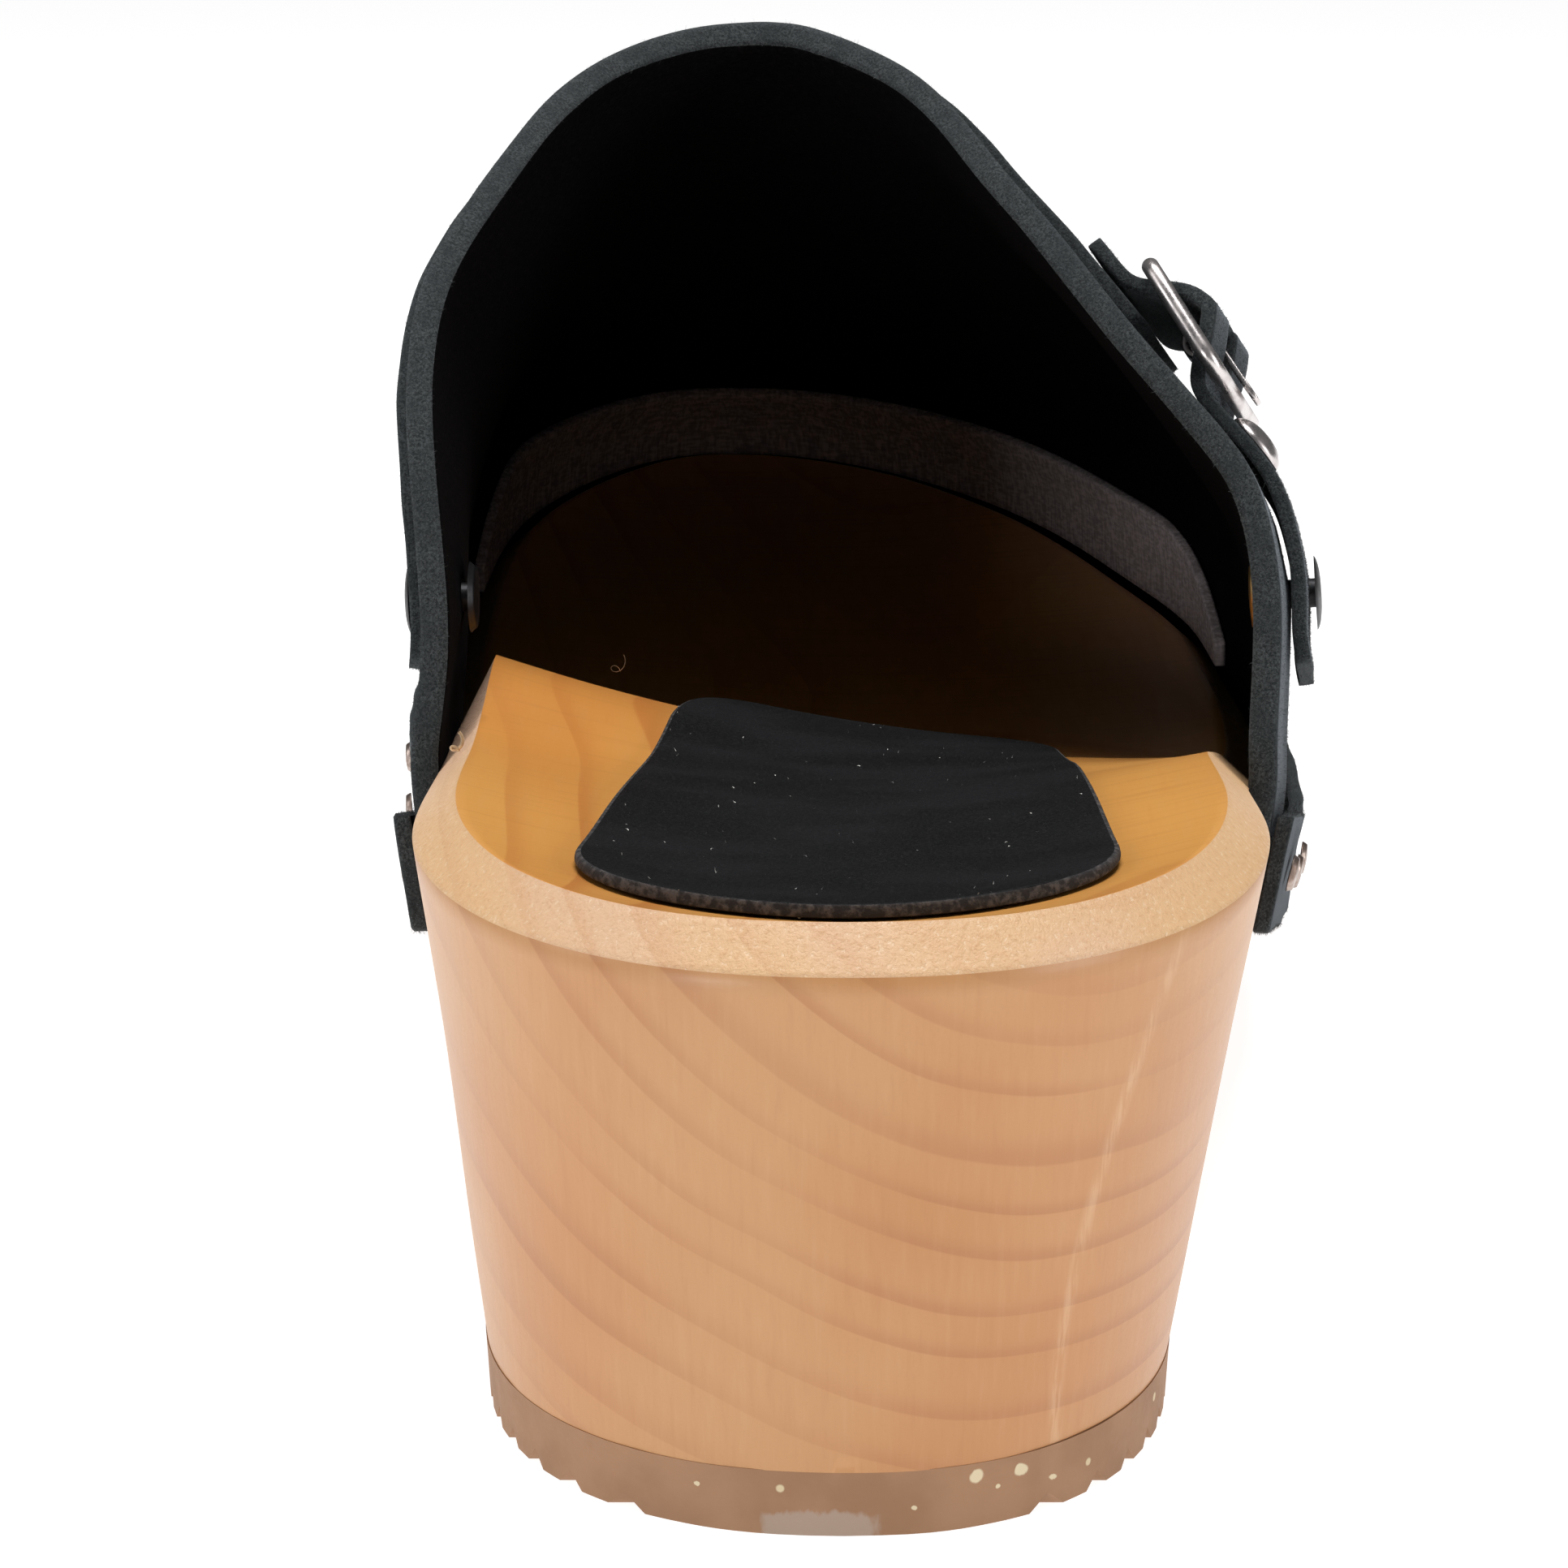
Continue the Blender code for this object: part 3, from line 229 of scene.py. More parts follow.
def join_frame(piece, nodes=()):
    """Lets a piece ride on the clog, and hides the frame nodes that it stands for."""
    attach(piece, "root")
    if nodes:
        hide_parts(*nodes)
    print(piece.name, "has", sum(len(face.vertices) - 2 for face in piece.data.polygons), "triangles")


print("patches are found, creased and subdivided")

# %% Move a piece's surface a little
def shift_surface(piece, height_at):
    """Moves each vertex along its normal by height_at(place, normal)."""
    mesh = piece.data
    normals = [vertex.normal.copy() for vertex in mesh.vertices]
    for vertex, normal in zip(mesh.vertices, normals):
        vertex.co += normal * height_at(vertex.co, normal)
    mesh.update()


def waviness(size, height, seed=0):
    """A height that rises and falls gently over a surface, for what a hand or a knife leaves uneven."""
    offset = Vector((seed * 7.3, seed * 3.1, seed * 5.7))
    return lambda place, normal: height * noise.noise(place / size + offset)


sample_height = waviness(20 * MM, 0.2 * MM)(Vector((0, heel_back, 0)), None)
print("waviness at the heel:", round(sample_height / MM, 3), "mm")

# %% [markdown]
# ## Laying out a material
# A material is a row of small steps: coordinates, noise, sums and mixes that end in one shader. This helper
# class adds a step per call, so that a finish reads from top to bottom. Places are the object's own
# coordinates in metres, so a scale is simply how many grains, pores or fibres fit in a metre.

# %% The material helper
class Finish:
    """A material under construction. Its methods add nodes and give back the socket that holds the result."""

    def __init__(self, name):
        self.material = bpy.data.materials.new(name)
        self.material.use_nodes = True
        self.nodes = self.material.node_tree.nodes
        self.shader = self.nodes["Principled BSDF"]
        self.place = self.add("TexCoord").outputs["Object"]

    def add(self, kind, **settings):
        node = self.nodes.new("ShaderNode" + kind)
        for key, value in settings.items():
            setattr(node, key, value)
        return node

    def feed(self, socket, value):
        if isinstance(value, bpy.types.NodeSocket):
            self.material.node_tree.links.new(value, socket)
        else:
            socket.default_value = value

    def math(self, operation, *values):
        node = self.add("Math", operation=operation)
        for socket, value in zip(node.inputs, values):
            self.feed(socket, value)
        return node.outputs[0]

    def vector(self, operation, *values):
        node = self.add("VectorMath", operation=operation)
        for socket, value in zip(node.inputs, values):
            self.feed(socket, value)
        return node.outputs[0]

    def from_to(self, start, value, share):
        """A start value, plus a share of another value."""
        return self.math("ADD", start, self.math("MULTIPLY", value, share))

    def axes(self, place=None):
        """The x, y and z of a place."""
        node = self.add("SeparateXYZ")
        self.feed(node.inputs[0], place or self.place)
        return node.outputs

    def distance(self, first, second):
        """How far a point lies from a centre, from its distances along two axes."""
        squares = [self.math("MULTIPLY", side, side) for side in (first, second)]
        return self.math("SQRT", self.math("ADD", *squares))

    def noise(self, per_metre, detail=2.0, roughness=0.5, place=None, output="Fac"):
        """Soft noise with so many blobs to a metre along each axis, from about 0.3 to 0.7."""
        node = self.add("TexNoise")
        self.feed(node.inputs["Vector"], self.vector("MULTIPLY", place or self.place, per_metre))
        node.inputs["Scale"].default_value = 1
        node.inputs["Detail"].default_value = detail
        node.inputs["Roughness"].default_value = roughness
        return node.outputs[output]

    def fade(self, value, low, high, top=1.0):
        """0 where a value is under low, top over high, and smooth between. low may be the greater one."""
        node = self.add("MapRange", interpolation_type="SMOOTHSTEP")
        self.feed(node.inputs["Value"], value)
        node.inputs["From Min"].default_value = low
        node.inputs["From Max"].default_value = high
        node.inputs["To Max"].default_value = top
        return node.outputs["Result"]

    def spots(self, per_metre, low, high):
        """Round spots, full within low of their points and gone beyond high, and a random number for each."""
        node = self.add("TexVoronoi")
        self.feed(node.inputs["Vector"], self.vector("MULTIPLY", self.place, everywhere(per_metre)))
        node.inputs["Scale"].default_value = 1
        dice = self.add("SeparateColor")
        self.feed(dice.inputs[0], node.outputs["Color"])
        return self.fade(node.outputs["Distance"], high, low), dice.outputs[0]

    def between(self, share, first, second):
        """A colour from the first to the second."""
        node = self.add("Mix", data_type="RGBA")
        self.feed(node.inputs[0], share)
        self.feed(node.inputs[6], first if isinstance(first, bpy.types.NodeSocket) else (*first, 1))
        self.feed(node.inputs[7], second if isinstance(second, bpy.types.NodeSocket) else (*second, 1))
        return node.outputs[2]

    def relief(self, height, depth, under=None):
        """Shades the surface as if it rose by depth where height is 1."""
        node = self.add("Bump")
        node.inputs["Distance"].default_value = depth
        self.feed(node.inputs["Height"], height)
        if under:
            self.feed(node.inputs["Normal"], under)
        return node.outputs[0]

    def done(self, **values):
        """Sets the shader's inputs, with underscores for the spaces in their names."""
        for key, value in values.items():
            socket = self.shader.inputs[key.replace("_", " ")]
            if isinstance(value, tuple) and len(value) == 3 and socket.type == "RGBA":
                value = (*value, 1)
            self.feed(socket, value)
        return self.material


def everywhere(per_metre):
    """The same density along all three axes."""
    return (per_metre, per_metre, per_metre)


print("a finish has a place, noise, spots, fades, mixes and relief")

# %% [markdown]
# ## Wood
# The sole is carved from a block of pale alder with its grain lengthwise. The growth rings are nearly round
# tubes along the foot. So the back of the heel cuts them square across and shows them as arcs, the sides show
# them as long lines, and the hollow of the seat shows them as loops. One formula gives all three: the
# distance from the tree's middle, which lies high on the outer side, counted off in rings of uneven width.

# %% The growth rings
PITH_X = 13.5 * MM
PITH_Z = 78 * MM
PITH_LEAN = 0.06
RING_WIDTH = 4.6 * MM
RING_DRIFT = 7.5 * MM


def ring_share(finish):
    """How near a point is to the dark late wood that ends a year's ring, from 0 to 1."""
    wander = finish.vector("SUBTRACT", finish.noise((26, 7, 26), 1.5, output="Color"), everywhere(0.5))
    moved = finish.vector("ADD", finish.place, finish.vector("MULTIPLY", wander, everywhere(RING_DRIFT)))
    x, y, z = finish.axes(moved)
    across = finish.from_to(finish.math("SUBTRACT", x, PITH_X), y, PITH_LEAN)
    radius = finish.distance(across, finish.math("SUBTRACT", z, PITH_Z))
    radial = finish.add("CombineXYZ")
    finish.feed(radial.inputs[0], radius)
    uneven = finish.math("MULTIPLY", finish.noise((130, 1, 1), 1.0, place=radial.outputs[0]), 1.3)
    count = finish.math("ADD", finish.math("DIVIDE", radius, RING_WIDTH), uneven)
    year = finish.math("FRACT", count)
    late = finish.math("POWER", finish.fade(year, 0.0, 0.95), 5.0)
    late = finish.math("MULTIPLY", late, finish.fade(year, 1.0, 0.96))
    patchy = finish.fade(finish.noise((38, 9, 38)), 0.36, 0.66)
    return finish.math("MULTIPLY", late, finish.from_to(0.3, patchy, 0.7))


print("about", round(PITH_Z / RING_WIDTH), "rings from the middle of the tree to the floor")

# %% [markdown]
# The four faces of the wood were worked in different ways. The side was sanded upright on a belt, which left
# fine upright scratches. Where two strokes met at the right of the heel there is a ridge, shown only as a
# painted highlight in the side's colour. The rim was cut with a router and stayed rough and pale. The seat
# was sanded and varnished, so its colour is deeper and it has a soft gloss. The underside was only planed.

# %% The wood finishes
RIDGE_HIGHLIGHT_X = 15.0 * MM
RIDGE_HIGHLIGHT_BOW = 11.5 * MM
RIDGE_HIGHLIGHT_FOOT = 10 * MM
RIDGE_HIGHLIGHT_WIDTH = 0.9 * MM


def wood(name, pale, warm, ring, ring_depth, streaks):
    """A wood with its rings, warm clouds and fine streaks. Gives the finish, its colour and its streaks."""
    finish = Finish(name)
    clouds = finish.fade(finish.noise((30, 8, 30), 2.0), 0.38, 0.66)
    colour = finish.between(clouds, pale, warm)
    rings = finish.math("MULTIPLY", ring_share(finish), ring_depth)
    colour = finish.between(rings, colour, ring)
    lines = finish.noise(streaks, 3.0, 0.65)
    colour = finish.between(finish.fade(lines, 0.50, 0.74, 0.12), colour, ring)
    colour = finish.between(finish.fade(lines, 0.50, 0.28, 0.03), colour, (0.86, 0.66, 0.44))
    return finish, colour, lines


def painted_ridge_highlight(finish, lines):
    """A painted highlight along the ridge on the back of the heel, which bows outwards towards the rim."""
    x, y, z = finish.axes()
    rise = finish.math("DIVIDE", finish.math("SUBTRACT", z, RIDGE_HIGHLIGHT_FOOT), seat_rim - RIDGE_HIGHLIGHT_FOOT)
    bow = finish.math("MULTIPLY", finish.math("POWER", finish.math("MAXIMUM", rise, 0), 1.6), RIDGE_HIGHLIGHT_BOW)
    aside = finish.math("ABSOLUTE", finish.math("SUBTRACT", finish.math("SUBTRACT", x, bow), RIDGE_HIGHLIGHT_X))
    share = finish.math("MULTIPLY", finish.fade(aside, RIDGE_HIGHLIGHT_WIDTH, 0), finish.fade(lines, 0.35, 0.6))
    return finish.math("MULTIPLY", share, finish.fade(y, heel_back + 16 * MM, heel_back + 10 * MM, 0.26))


def sanded_side():
    finish, colour, lines = wood(
        "sanded_wood", pale=(0.55, 0.275, 0.108), warm=(0.51, 0.225, 0.076), ring=(0.37, 0.13, 0.04),
        ring_depth=0.46, streaks=(1500, 1500, 130))
    grain = finish.noise(everywhere(3200), 2.0)
    colour = finish.between(finish.fade(grain, 0.55, 0.75, 0.12), colour, (0.42, 0.22, 0.11))
    # Painted highlight: a pale line along the ridge where two sanded strokes met.
    colour = finish.between(painted_ridge_highlight(finish, lines), colour, (0.85, 0.6, 0.38))
    scratched = finish.relief(lines, 0.006 * MM)
    return finish.done(
        Base_Color=colour, Roughness=finish.from_to(0.38, grain, 0.16), Specular_IOR_Level=0.5,
        Coat_Weight=0.3, Coat_Roughness=0.3, Normal=finish.relief(grain, 0.015 * MM, scratched))


def varnished_seat():
    finish, colour, lines = wood(
        "varnished_wood", pale=(0.76, 0.36, 0.084), warm=(0.69, 0.28, 0.056), ring=(0.54, 0.16, 0.028),
        ring_depth=0.55, streaks=(900, 70, 900))
    chatter = finish.noise((60, 1400, 60), 2.0)
    colour = finish.between(finish.fade(chatter, 0.50, 0.70, 0.22), colour, (0.52, 0.20, 0.042))
    return finish.done(
        Base_Color=colour, Roughness=finish.from_to(0.32, lines, 0.16), Coat_Weight=0.35,
        Coat_Roughness=0.28, Normal=finish.relief(chatter, 0.02 * MM))


def rough_rim():
    finish, colour, lines = wood(
        "rough_rim_wood", pale=(0.72, 0.45, 0.235), warm=(0.72, 0.47, 0.33), ring=(0.58, 0.29, 0.13),
        ring_depth=0.3, streaks=everywhere(1300))
    fibre = finish.noise(everywhere(2000), 3.0, 0.7)
    colour = finish.between(finish.fade(fibre, 0.52, 0.72, 0.4), colour, (0.55, 0.27, 0.11))
    colour = finish.between(finish.fade(fibre, 0.43, 0.30, 0.4), colour, (0.92, 0.76, 0.56))
    return finish.done(
        Base_Color=colour, Roughness=finish.from_to(0.26, fibre, 0.4), Normal=finish.relief(fibre, 0.22 * MM))


def planed_underside():
    finish, colour, lines = wood(
        "planed_wood", pale=(0.66, 0.42, 0.22), warm=(0.60, 0.35, 0.17), ring=(0.44, 0.21, 0.09),
        ring_depth=0.5, streaks=(900, 60, 900))
    return finish.done(Base_Color=colour, Roughness=0.62, Normal=finish.relief(lines, 0.04 * MM))


SIDE, RIM, SEAT, UNDERSIDE = range(4)
wood_surfaces = [sanded_side(), rough_rim(), varnished_seat(), planed_underside()]
print("wood finishes:", [surface.name for surface in wood_surfaces])

# %% [markdown]
# ## The wooden sole
# The frame's sole has the right outline, arch and heel. Its three largest patches are the underside, the side
# and the seat, from low to high, and what is left is the rim's bevel. A slight waviness takes away the
# machine look, because each sole is sanded by hand.

# %% Build the sole
RIM_ANGLE = 33


def mean_height(group):
    return sum(face.calc_center_median().z for face in group) / len(group)


def wooden_sole():
    shape = open_shape("wooden_sole")
    for face in shape.faces:
        face.material_index = RIM
    largest = sorted(patches(shape, RIM_ANGLE)[:3], key=mean_height)
    for group, index in zip(largest, (UNDERSIDE, SIDE, SEAT)):
        for face in group:
            face.material_index = index
    piece = close_shape(
        shape, "sole_of_wood", wood_surfaces, ["wooden_sole"], crease=1, levels=3, sharp=RIM_ANGLE)
    shift_surface(piece, waviness(17 * MM, 0.16 * MM, seed=1))


wooden_sole()

# %% [markdown]
# ## Rubber
# The treads are moulded from brown rubber with ground cork in it, which shows as a few cream specks: small
# ones all over, and some larger ones at the back of the heel, where there is also a paler, roughened patch.

# %% The rubber finish
SCUFF_LEFT = -8.4 * MM
SCUFF_RIGHT = 1.0 * MM
SCUFF_TOP = 2.1 * MM
SMALL_SPECKS = (
    # cells to a metre, full radius and outer radius as shares of a cell, number that a speck's dice must beat
    (330, 0.10, 0.15, 0.74),
    (150, 0.06, 0.09, 0.84),
)
CORK = (
    # place across the heel, height, radius
    (8.7 * MM, 4.3 * MM, 0.60 * MM),
    (12.3 * MM, 4.0 * MM, 0.52 * MM),
    (10.4 * MM, 3.1 * MM, 0.20 * MM),
    (14.9 * MM, 2.6 * MM, 0.24 * MM),
    (-13.2 * MM, 3.6 * MM, 0.22 * MM),
    (3.8 * MM, 2.2 * MM, 0.20 * MM),
)


def rubber():
    finish = Finish("ribbed_rubber")
    clouds = finish.noise(everywhere(160), 3.0)
    colour = finish.between(finish.fade(clouds, 0.35, 0.68), (0.370, 0.203, 0.111), (0.314, 0.167, 0.088))
    x, y, z = finish.axes()
    uneven = finish.math("SUBTRACT", finish.noise((900, 900, 350), 3.0), 0.5)
    ragged = finish.math("MULTIPLY", uneven, 2.2 * MM)
    torn_x = finish.math("ADD", x, ragged)
    torn_z = finish.math("ADD", z, ragged)
    scuff = finish.math(
        "MULTIPLY", finish.fade(y, heel_back + 8 * MM, heel_back + 5 * MM),
        finish.fade(torn_z, SCUFF_TOP, SCUFF_TOP - 0.5 * MM))
    scuff = finish.math("MULTIPLY", scuff, finish.fade(torn_x, SCUFF_LEFT, SCUFF_LEFT + 0.8 * MM))
    scuff = finish.math("MULTIPLY", scuff, finish.fade(torn_x, SCUFF_RIGHT, SCUFF_RIGHT - 0.8 * MM, 0.85))
    colour = finish.between(scuff, colour, (0.40, 0.30, 0.235))
    for per_metre, low, high, beaten in SMALL_SPECKS:
        speck, dice = finish.spots(per_metre, low, high)
        speck = finish.math("MULTIPLY", speck, finish.math("GREATER_THAN", dice, beaten))
        colour = finish.between(finish.math("MULTIPLY", speck, 0.85), colour, (0.72, 0.60, 0.38))
    chipped = finish.math("MULTIPLY", ragged, 0.35)
    near_back = finish.fade(y, heel_back + 30 * MM, heel_back + 20 * MM, 0.9)
    for across, height, radius in CORK:
        aside = finish.math("SUBTRACT", finish.math("ADD", x, chipped), across)
        above = finish.math("SUBTRACT", finish.math("SUBTRACT", z, chipped), height)
        speck = finish.fade(finish.distance(aside, above), radius * 1.15, radius * 0.8)
        colour = finish.between(finish.math("MULTIPLY", speck, near_back), colour, (0.74, 0.63, 0.42))
    fine = finish.noise(everywhere(1800), 2.0)
    return finish.done(
        Base_Color=colour, Roughness=finish.from_to(0.55, fine, 0.2), Specular_IOR_Level=0.35,
        Normal=finish.relief(fine, 0.03 * MM, finish.relief(clouds, 0.15 * MM)))


rubber_surface = rubber()
print("rubber:", rubber_surface.name)

# %% Build the treads
PRESSED_IN = 0.32 * MM
FACES_UP = 0.8


def tread(node, name):
    """A rubber tread. Its upper face is raised a hair, so that it is pressed against the wood."""
    shape = open_shape(node)
    for vertex in shape.verts:
        if max(face.normal.z for face in vertex.link_faces) > FACES_UP:
            vertex.co.z += PRESSED_IN
    piece = close_shape(shape, name, [rubber_surface], [node], crease=1, levels=1, sharp=25)
    shift_surface(piece, waviness(3 * MM, 0.03 * MM, seed=2))


tread("heel_tread", "tread_under_heel")
tread("forepart_tread", "tread_under_forepart")

# %% [markdown]
# ## Nubuck, its flesh side and its cut edge
# Nubuck is leather whose outer face is brushed to a short nap. It looks almost black face on, and grey where
# the nap is seen against the light, which the shader's sheen gives. The cut edge shows the loose fibres of
# the hide. They took the dye less, so the edge is a cool dark grey.

# %% The leather finishes
def nubuck():
    finish = Finish("black_nubuck")
    brushed = finish.noise(everywhere(120), 3.0)
    nap = finish.noise(everywhere(4200), 2.0, 0.7)
    flecks = finish.noise(everywhere(1500), 3.0, 0.6)
    darkest, dark = (0.0085, 0.0095, 0.0105), (0.0155, 0.0175, 0.019)
    colour = finish.between(finish.fade(brushed, 0.35, 0.68), darkest, dark)
    colour = finish.between(finish.fade(flecks, 0.54, 0.76, 0.5), colour, (0.034, 0.040, 0.043))
    return finish.done(
        Base_Color=colour, Roughness=0.92, Specular_IOR_Level=0.2, Sheen_Weight=0.32, Sheen_Roughness=0.42,
        Sheen_Tint=(0.80, 0.90, 1.0), Normal=finish.relief(nap, 0.10 * MM, finish.relief(flecks, 0.05 * MM)))


def flesh_side():
    finish = Finish("leather_flesh_side")
    nap = finish.noise(everywhere(2200), 3.0, 0.65)
    # Painted shade in part: the flesh side is kept darker than the outer face, to darken the inside of the
    # clog.
    colour = finish.between(finish.fade(nap, 0.42, 0.70), (0.0015, 0.0014, 0.0018), (0.0048, 0.0046, 0.0054))
    return finish.done(
        Base_Color=colour, Roughness=0.95, Specular_IOR_Level=0.05, Normal=finish.relief(nap, 0.12 * MM))


def cut_edge():
    finish = Finish("leather_cut_edge")
    tufts = finish.noise(everywhere(4200), 3.0, 0.7)
    strands = finish.noise(everywhere(420), 2.0)
    colour = finish.between(finish.fade(tufts, 0.36, 0.68), (0.013, 0.0155, 0.0165), (0.060, 0.068, 0.071))
    colour = finish.between(finish.fade(strands, 0.40, 0.65, 0.5), colour, (0.018, 0.022, 0.024))
    return finish.done(
        Base_Color=colour, Roughness=0.97, Specular_IOR_Level=0.15, Sheen_Weight=0.15, Sheen_Roughness=0.5,
        Sheen_Tint=(0.9, 0.96, 1.0), Normal=finish.relief(tufts, 0.10 * MM))


FACE, FLESH, EDGE = range(3)
leather_surfaces = [nubuck(), flesh_side(), cut_edge()]
print("leather finishes:", [surface.name for surface in leather_surfaces])

# %% [markdown]
# ## The upper
# The leather's outer face, its inner face and its cut edges are the patches of the frame's hollow solid. New
# leather is smooth, but it was pulled over a last: it has shallow troughs where the vamp bends above the ball
# of the foot, and it is drawn in a little at each nail. Both are worked into the outer face only.

# %% Find the nails
nail_nodes = sorted(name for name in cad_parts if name.startswith("nail_"))
nail_places = [(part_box(name)[0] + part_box(name)[1]) / 2 for name in nail_nodes]
print(len(nail_places), "nails")

# %% Creases and dimples
Y_OF_BALL = 0.62
BEND_TROUGHS = (
    # place along the foot from the ball, depth, half width, lean across the foot
    (-9 * MM, 0.35 * MM, 4.5 * MM, 0.10),
    (3 * MM, 0.50 * MM, 5.0 * MM, 0.16),
    (14 * MM, 0.30 * MM, 4.0 * MM, 0.20),
)
TROUGH_FADE = 14 * MM
DIMPLE_DEPTH = 0.14 * MM
DIMPLE_REACH = 4.0 * MM
WAVE_HEIGHT = 0.10 * MM
WAVE_SIZE = 11 * MM
ball_y = heel_back + Y_OF_BALL * (toe_tip - heel_back)
vamp_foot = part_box("edge_strip")[1].z


def vamp_height(place, normal):
    """How far the upper's surface moves at a place. The troughs and dimples are only in the outer face."""
    height = WAVE_HEIGHT * noise.noise(place / WAVE_SIZE)
    outwards = Vector((place.x, 0.4 * (place.y - collar_back), place.z - 0.5 * vamp_foot))
    if normal.dot(outwards) < 0:
        return height
    above = min(max((place.z - vamp_foot) / TROUGH_FADE, 0), 1)
    for along, depth, half, lean in BEND_TROUGHS:
        away = (place.y - ball_y - along - lean * place.x) / half
        height -= depth * above * math.exp(-away * away)
    for centre in nail_places:
        away = (place - centre).length / DIMPLE_REACH
        if away < 3:
            height -= DIMPLE_DEPTH * math.exp(-away * away)
    return height


print("ball of the foot at y =", round(ball_y, 4))

# %% Build the upper
def leather_piece(node, name, levels=2):
    """A leather piece: its outer face, flesh side and cut edges, each with its own finish."""
    shape = open_shape(node)
    for face in shape.faces:
        face.material_index = EDGE
    largest = sorted(patches(shape)[:2], key=facing_out)
    for group, index in zip(largest, (FLESH, FACE)):
        for face in group:
            face.material_index = index
    return close_shape(shape, name, leather_surfaces, [node], crease=0.85, levels=levels)


def facing_out(group):
    """How much the faces look away from the clog's middle line."""
    middle = Vector((0, 0, 0.3 * instep_peak))
    total = 0
    for face in group:
        away = face.calc_center_median() - middle
        total += face.calc_area() * face.normal.dot(Vector((away.x, 0.3 * away.y, away.z)))
    return total


upper = leather_piece("upper", "nubuck_upper")
shift_surface(upper, vamp_height)

# %% [markdown]
# ## Loose fibres
# The fuzz along a cut edge is what makes it read as leather. Each hair is a narrow blade of two faces that
# stands on a random point of the edge, leans at random and bends towards its tip. Thousands of them in one
# mesh are cheap, and they show on the outline, which a bump never does. Near the collar, the outer face gets
# a nap of shorter hairs as well.

# %% Scatter the fibres
SHORTEST_HAIR = 0.35
BEND_AT = 0.55
WIDTH_AT_BEND = 0.7
CURLED_TIP = 0.35


def anywhere(place):
    return True


def fibres(name, owner, surfaces, count, length, width, surface, seed, lean=0.8, within=anywhere):
    """Hairs on chosen surfaces of a piece, as one mesh."""
    mesh = owner.data
    mesh.calc_loop_triangles()
    chosen = [t for t in mesh.loop_triangles if t.material_index in surfaces and within(t.center)]
    corners = np.array([[mesh.vertices[i].co for i in t.vertices] for t in chosen])
    normals = np.array([t.normal for t in chosen])
    areas = np.array([t.area for t in chosen])
    dice = np.random.default_rng(seed)
    picks = dice.choice(len(chosen), count, p=areas / areas.sum())
    u, v = dice.random((2, count, 1))
    u, v = np.where(u + v > 1, 1 - u, u), np.where(u + v > 1, 1 - v, v)
    first, second, third = (corners[picks, i] for i in range(3))
    roots = first + u * (second - first) + v * (third - first)
    up = normals[picks] + lean * dice.normal(size=(count, 3))
    up /= np.linalg.norm(up, axis=1, keepdims=True)
    aside = np.cross(up, dice.normal(size=(count, 3)))
    aside /= np.linalg.norm(aside, axis=1, keepdims=True)
    reach = length * dice.uniform(SHORTEST_HAIR, 1.0, (count, 1))
    middle = roots + up * reach * BEND_AT
    tips = middle + (up * (1 - BEND_AT) + CURLED_TIP * dice.normal(size=(count, 3))) * reach
    half = aside * width / 2
    at_bend = half * WIDTH_AT_BEND
    blades = np.stack((roots - half, roots + half, middle + at_bend, middle - at_bend, tips), axis=1)
    faces = []
    for i in range(count):
        k = 5 * i
        faces += [(k, k + 1, k + 2, k + 3), (k + 3, k + 2, k + 4)]
    made = bpy.data.meshes.new(name)
    made.from_pydata(blades.reshape(-1, 3).tolist(), [], faces)
    small_piece(name, made, surface)


def small_piece(name, made, surface):
    """Adds a mesh to the clog as a piece of its own, over what the frame has."""
    made.shade_smooth()
    made.materials.append(surface)
    piece = bpy.data.objects.new(name, made)
    bpy.context.scene.collection.objects.link(piece)
    join_frame(piece)


def hair(name, colour):
    """The finish of a fibre, which is paler in some places than in others."""
    finish = Finish(name)
    shade = finish.noise(everywhere(700), 1.0)
    darker = tuple(0.45 * c for c in colour)
    return finish.done(
        Base_Color=finish.between(finish.fade(shade, 0.4, 0.6), darker, colour), Roughness=0.8,
        Sheen_Weight=0.2, Sheen_Roughness=0.5)


NAP_REACH = 75 * MM
edge_hair = hair("edge_hair", (0.078, 0.088, 0.092))
nap_hair = hair("nap_hair", (0.026, 0.030, 0.032))
fibres(
    "upper_edge_fuzz", upper, {EDGE}, count=30000, length=0.55 * MM, width=0.022 * MM,
    surface=edge_hair, seed=11)
fibres(
    "upper_nap", upper, {FACE}, count=30000, length=0.34 * MM, width=0.03 * MM,
    surface=nap_hair, seed=12, within=lambda place: place.y < collar_back + NAP_REACH)

# %% [markdown]
# ## The nailed strip and its nails
# A strip of the same leather covers the upper's lower edge, and nails with low round heads hold both to the
# wood. The nails are plain steel with a brown film on them.

# %% Build the strip
strip = leather_piece("edge_strip", "nubuck_strip", levels=3)
shift_surface(strip, waviness(6 * MM, 0.22 * MM, seed=5))
fibres(
    "strip_fuzz", strip, {EDGE}, count=15000, length=0.55 * MM, width=0.03 * MM,
    surface=edge_hair, seed=13)

# %% The metal finishes
def metal(name, colour, stain, roughness, stain_share):
    """A metal with fine brushing, a few stains and a slightly uneven gloss."""
    finish = Finish(name)
    stains = finish.fade(finish.noise(everywhere(500), 3.0, 0.6), 0.42, 0.66)
    tint = finish.between(finish.math("MULTIPLY", stains, stain_share), colour, stain)
    brushed = finish.noise((5200, 700, 5200), 2.0)
    roughness = finish.from_to(finish.from_to(roughness - 0.08, brushed, 0.16), stains, 0.12)
    return finish.done(
        Base_Color=tint, Metallic=1.0, Roughness=roughness, Normal=finish.relief(brushed, 0.003 * MM))


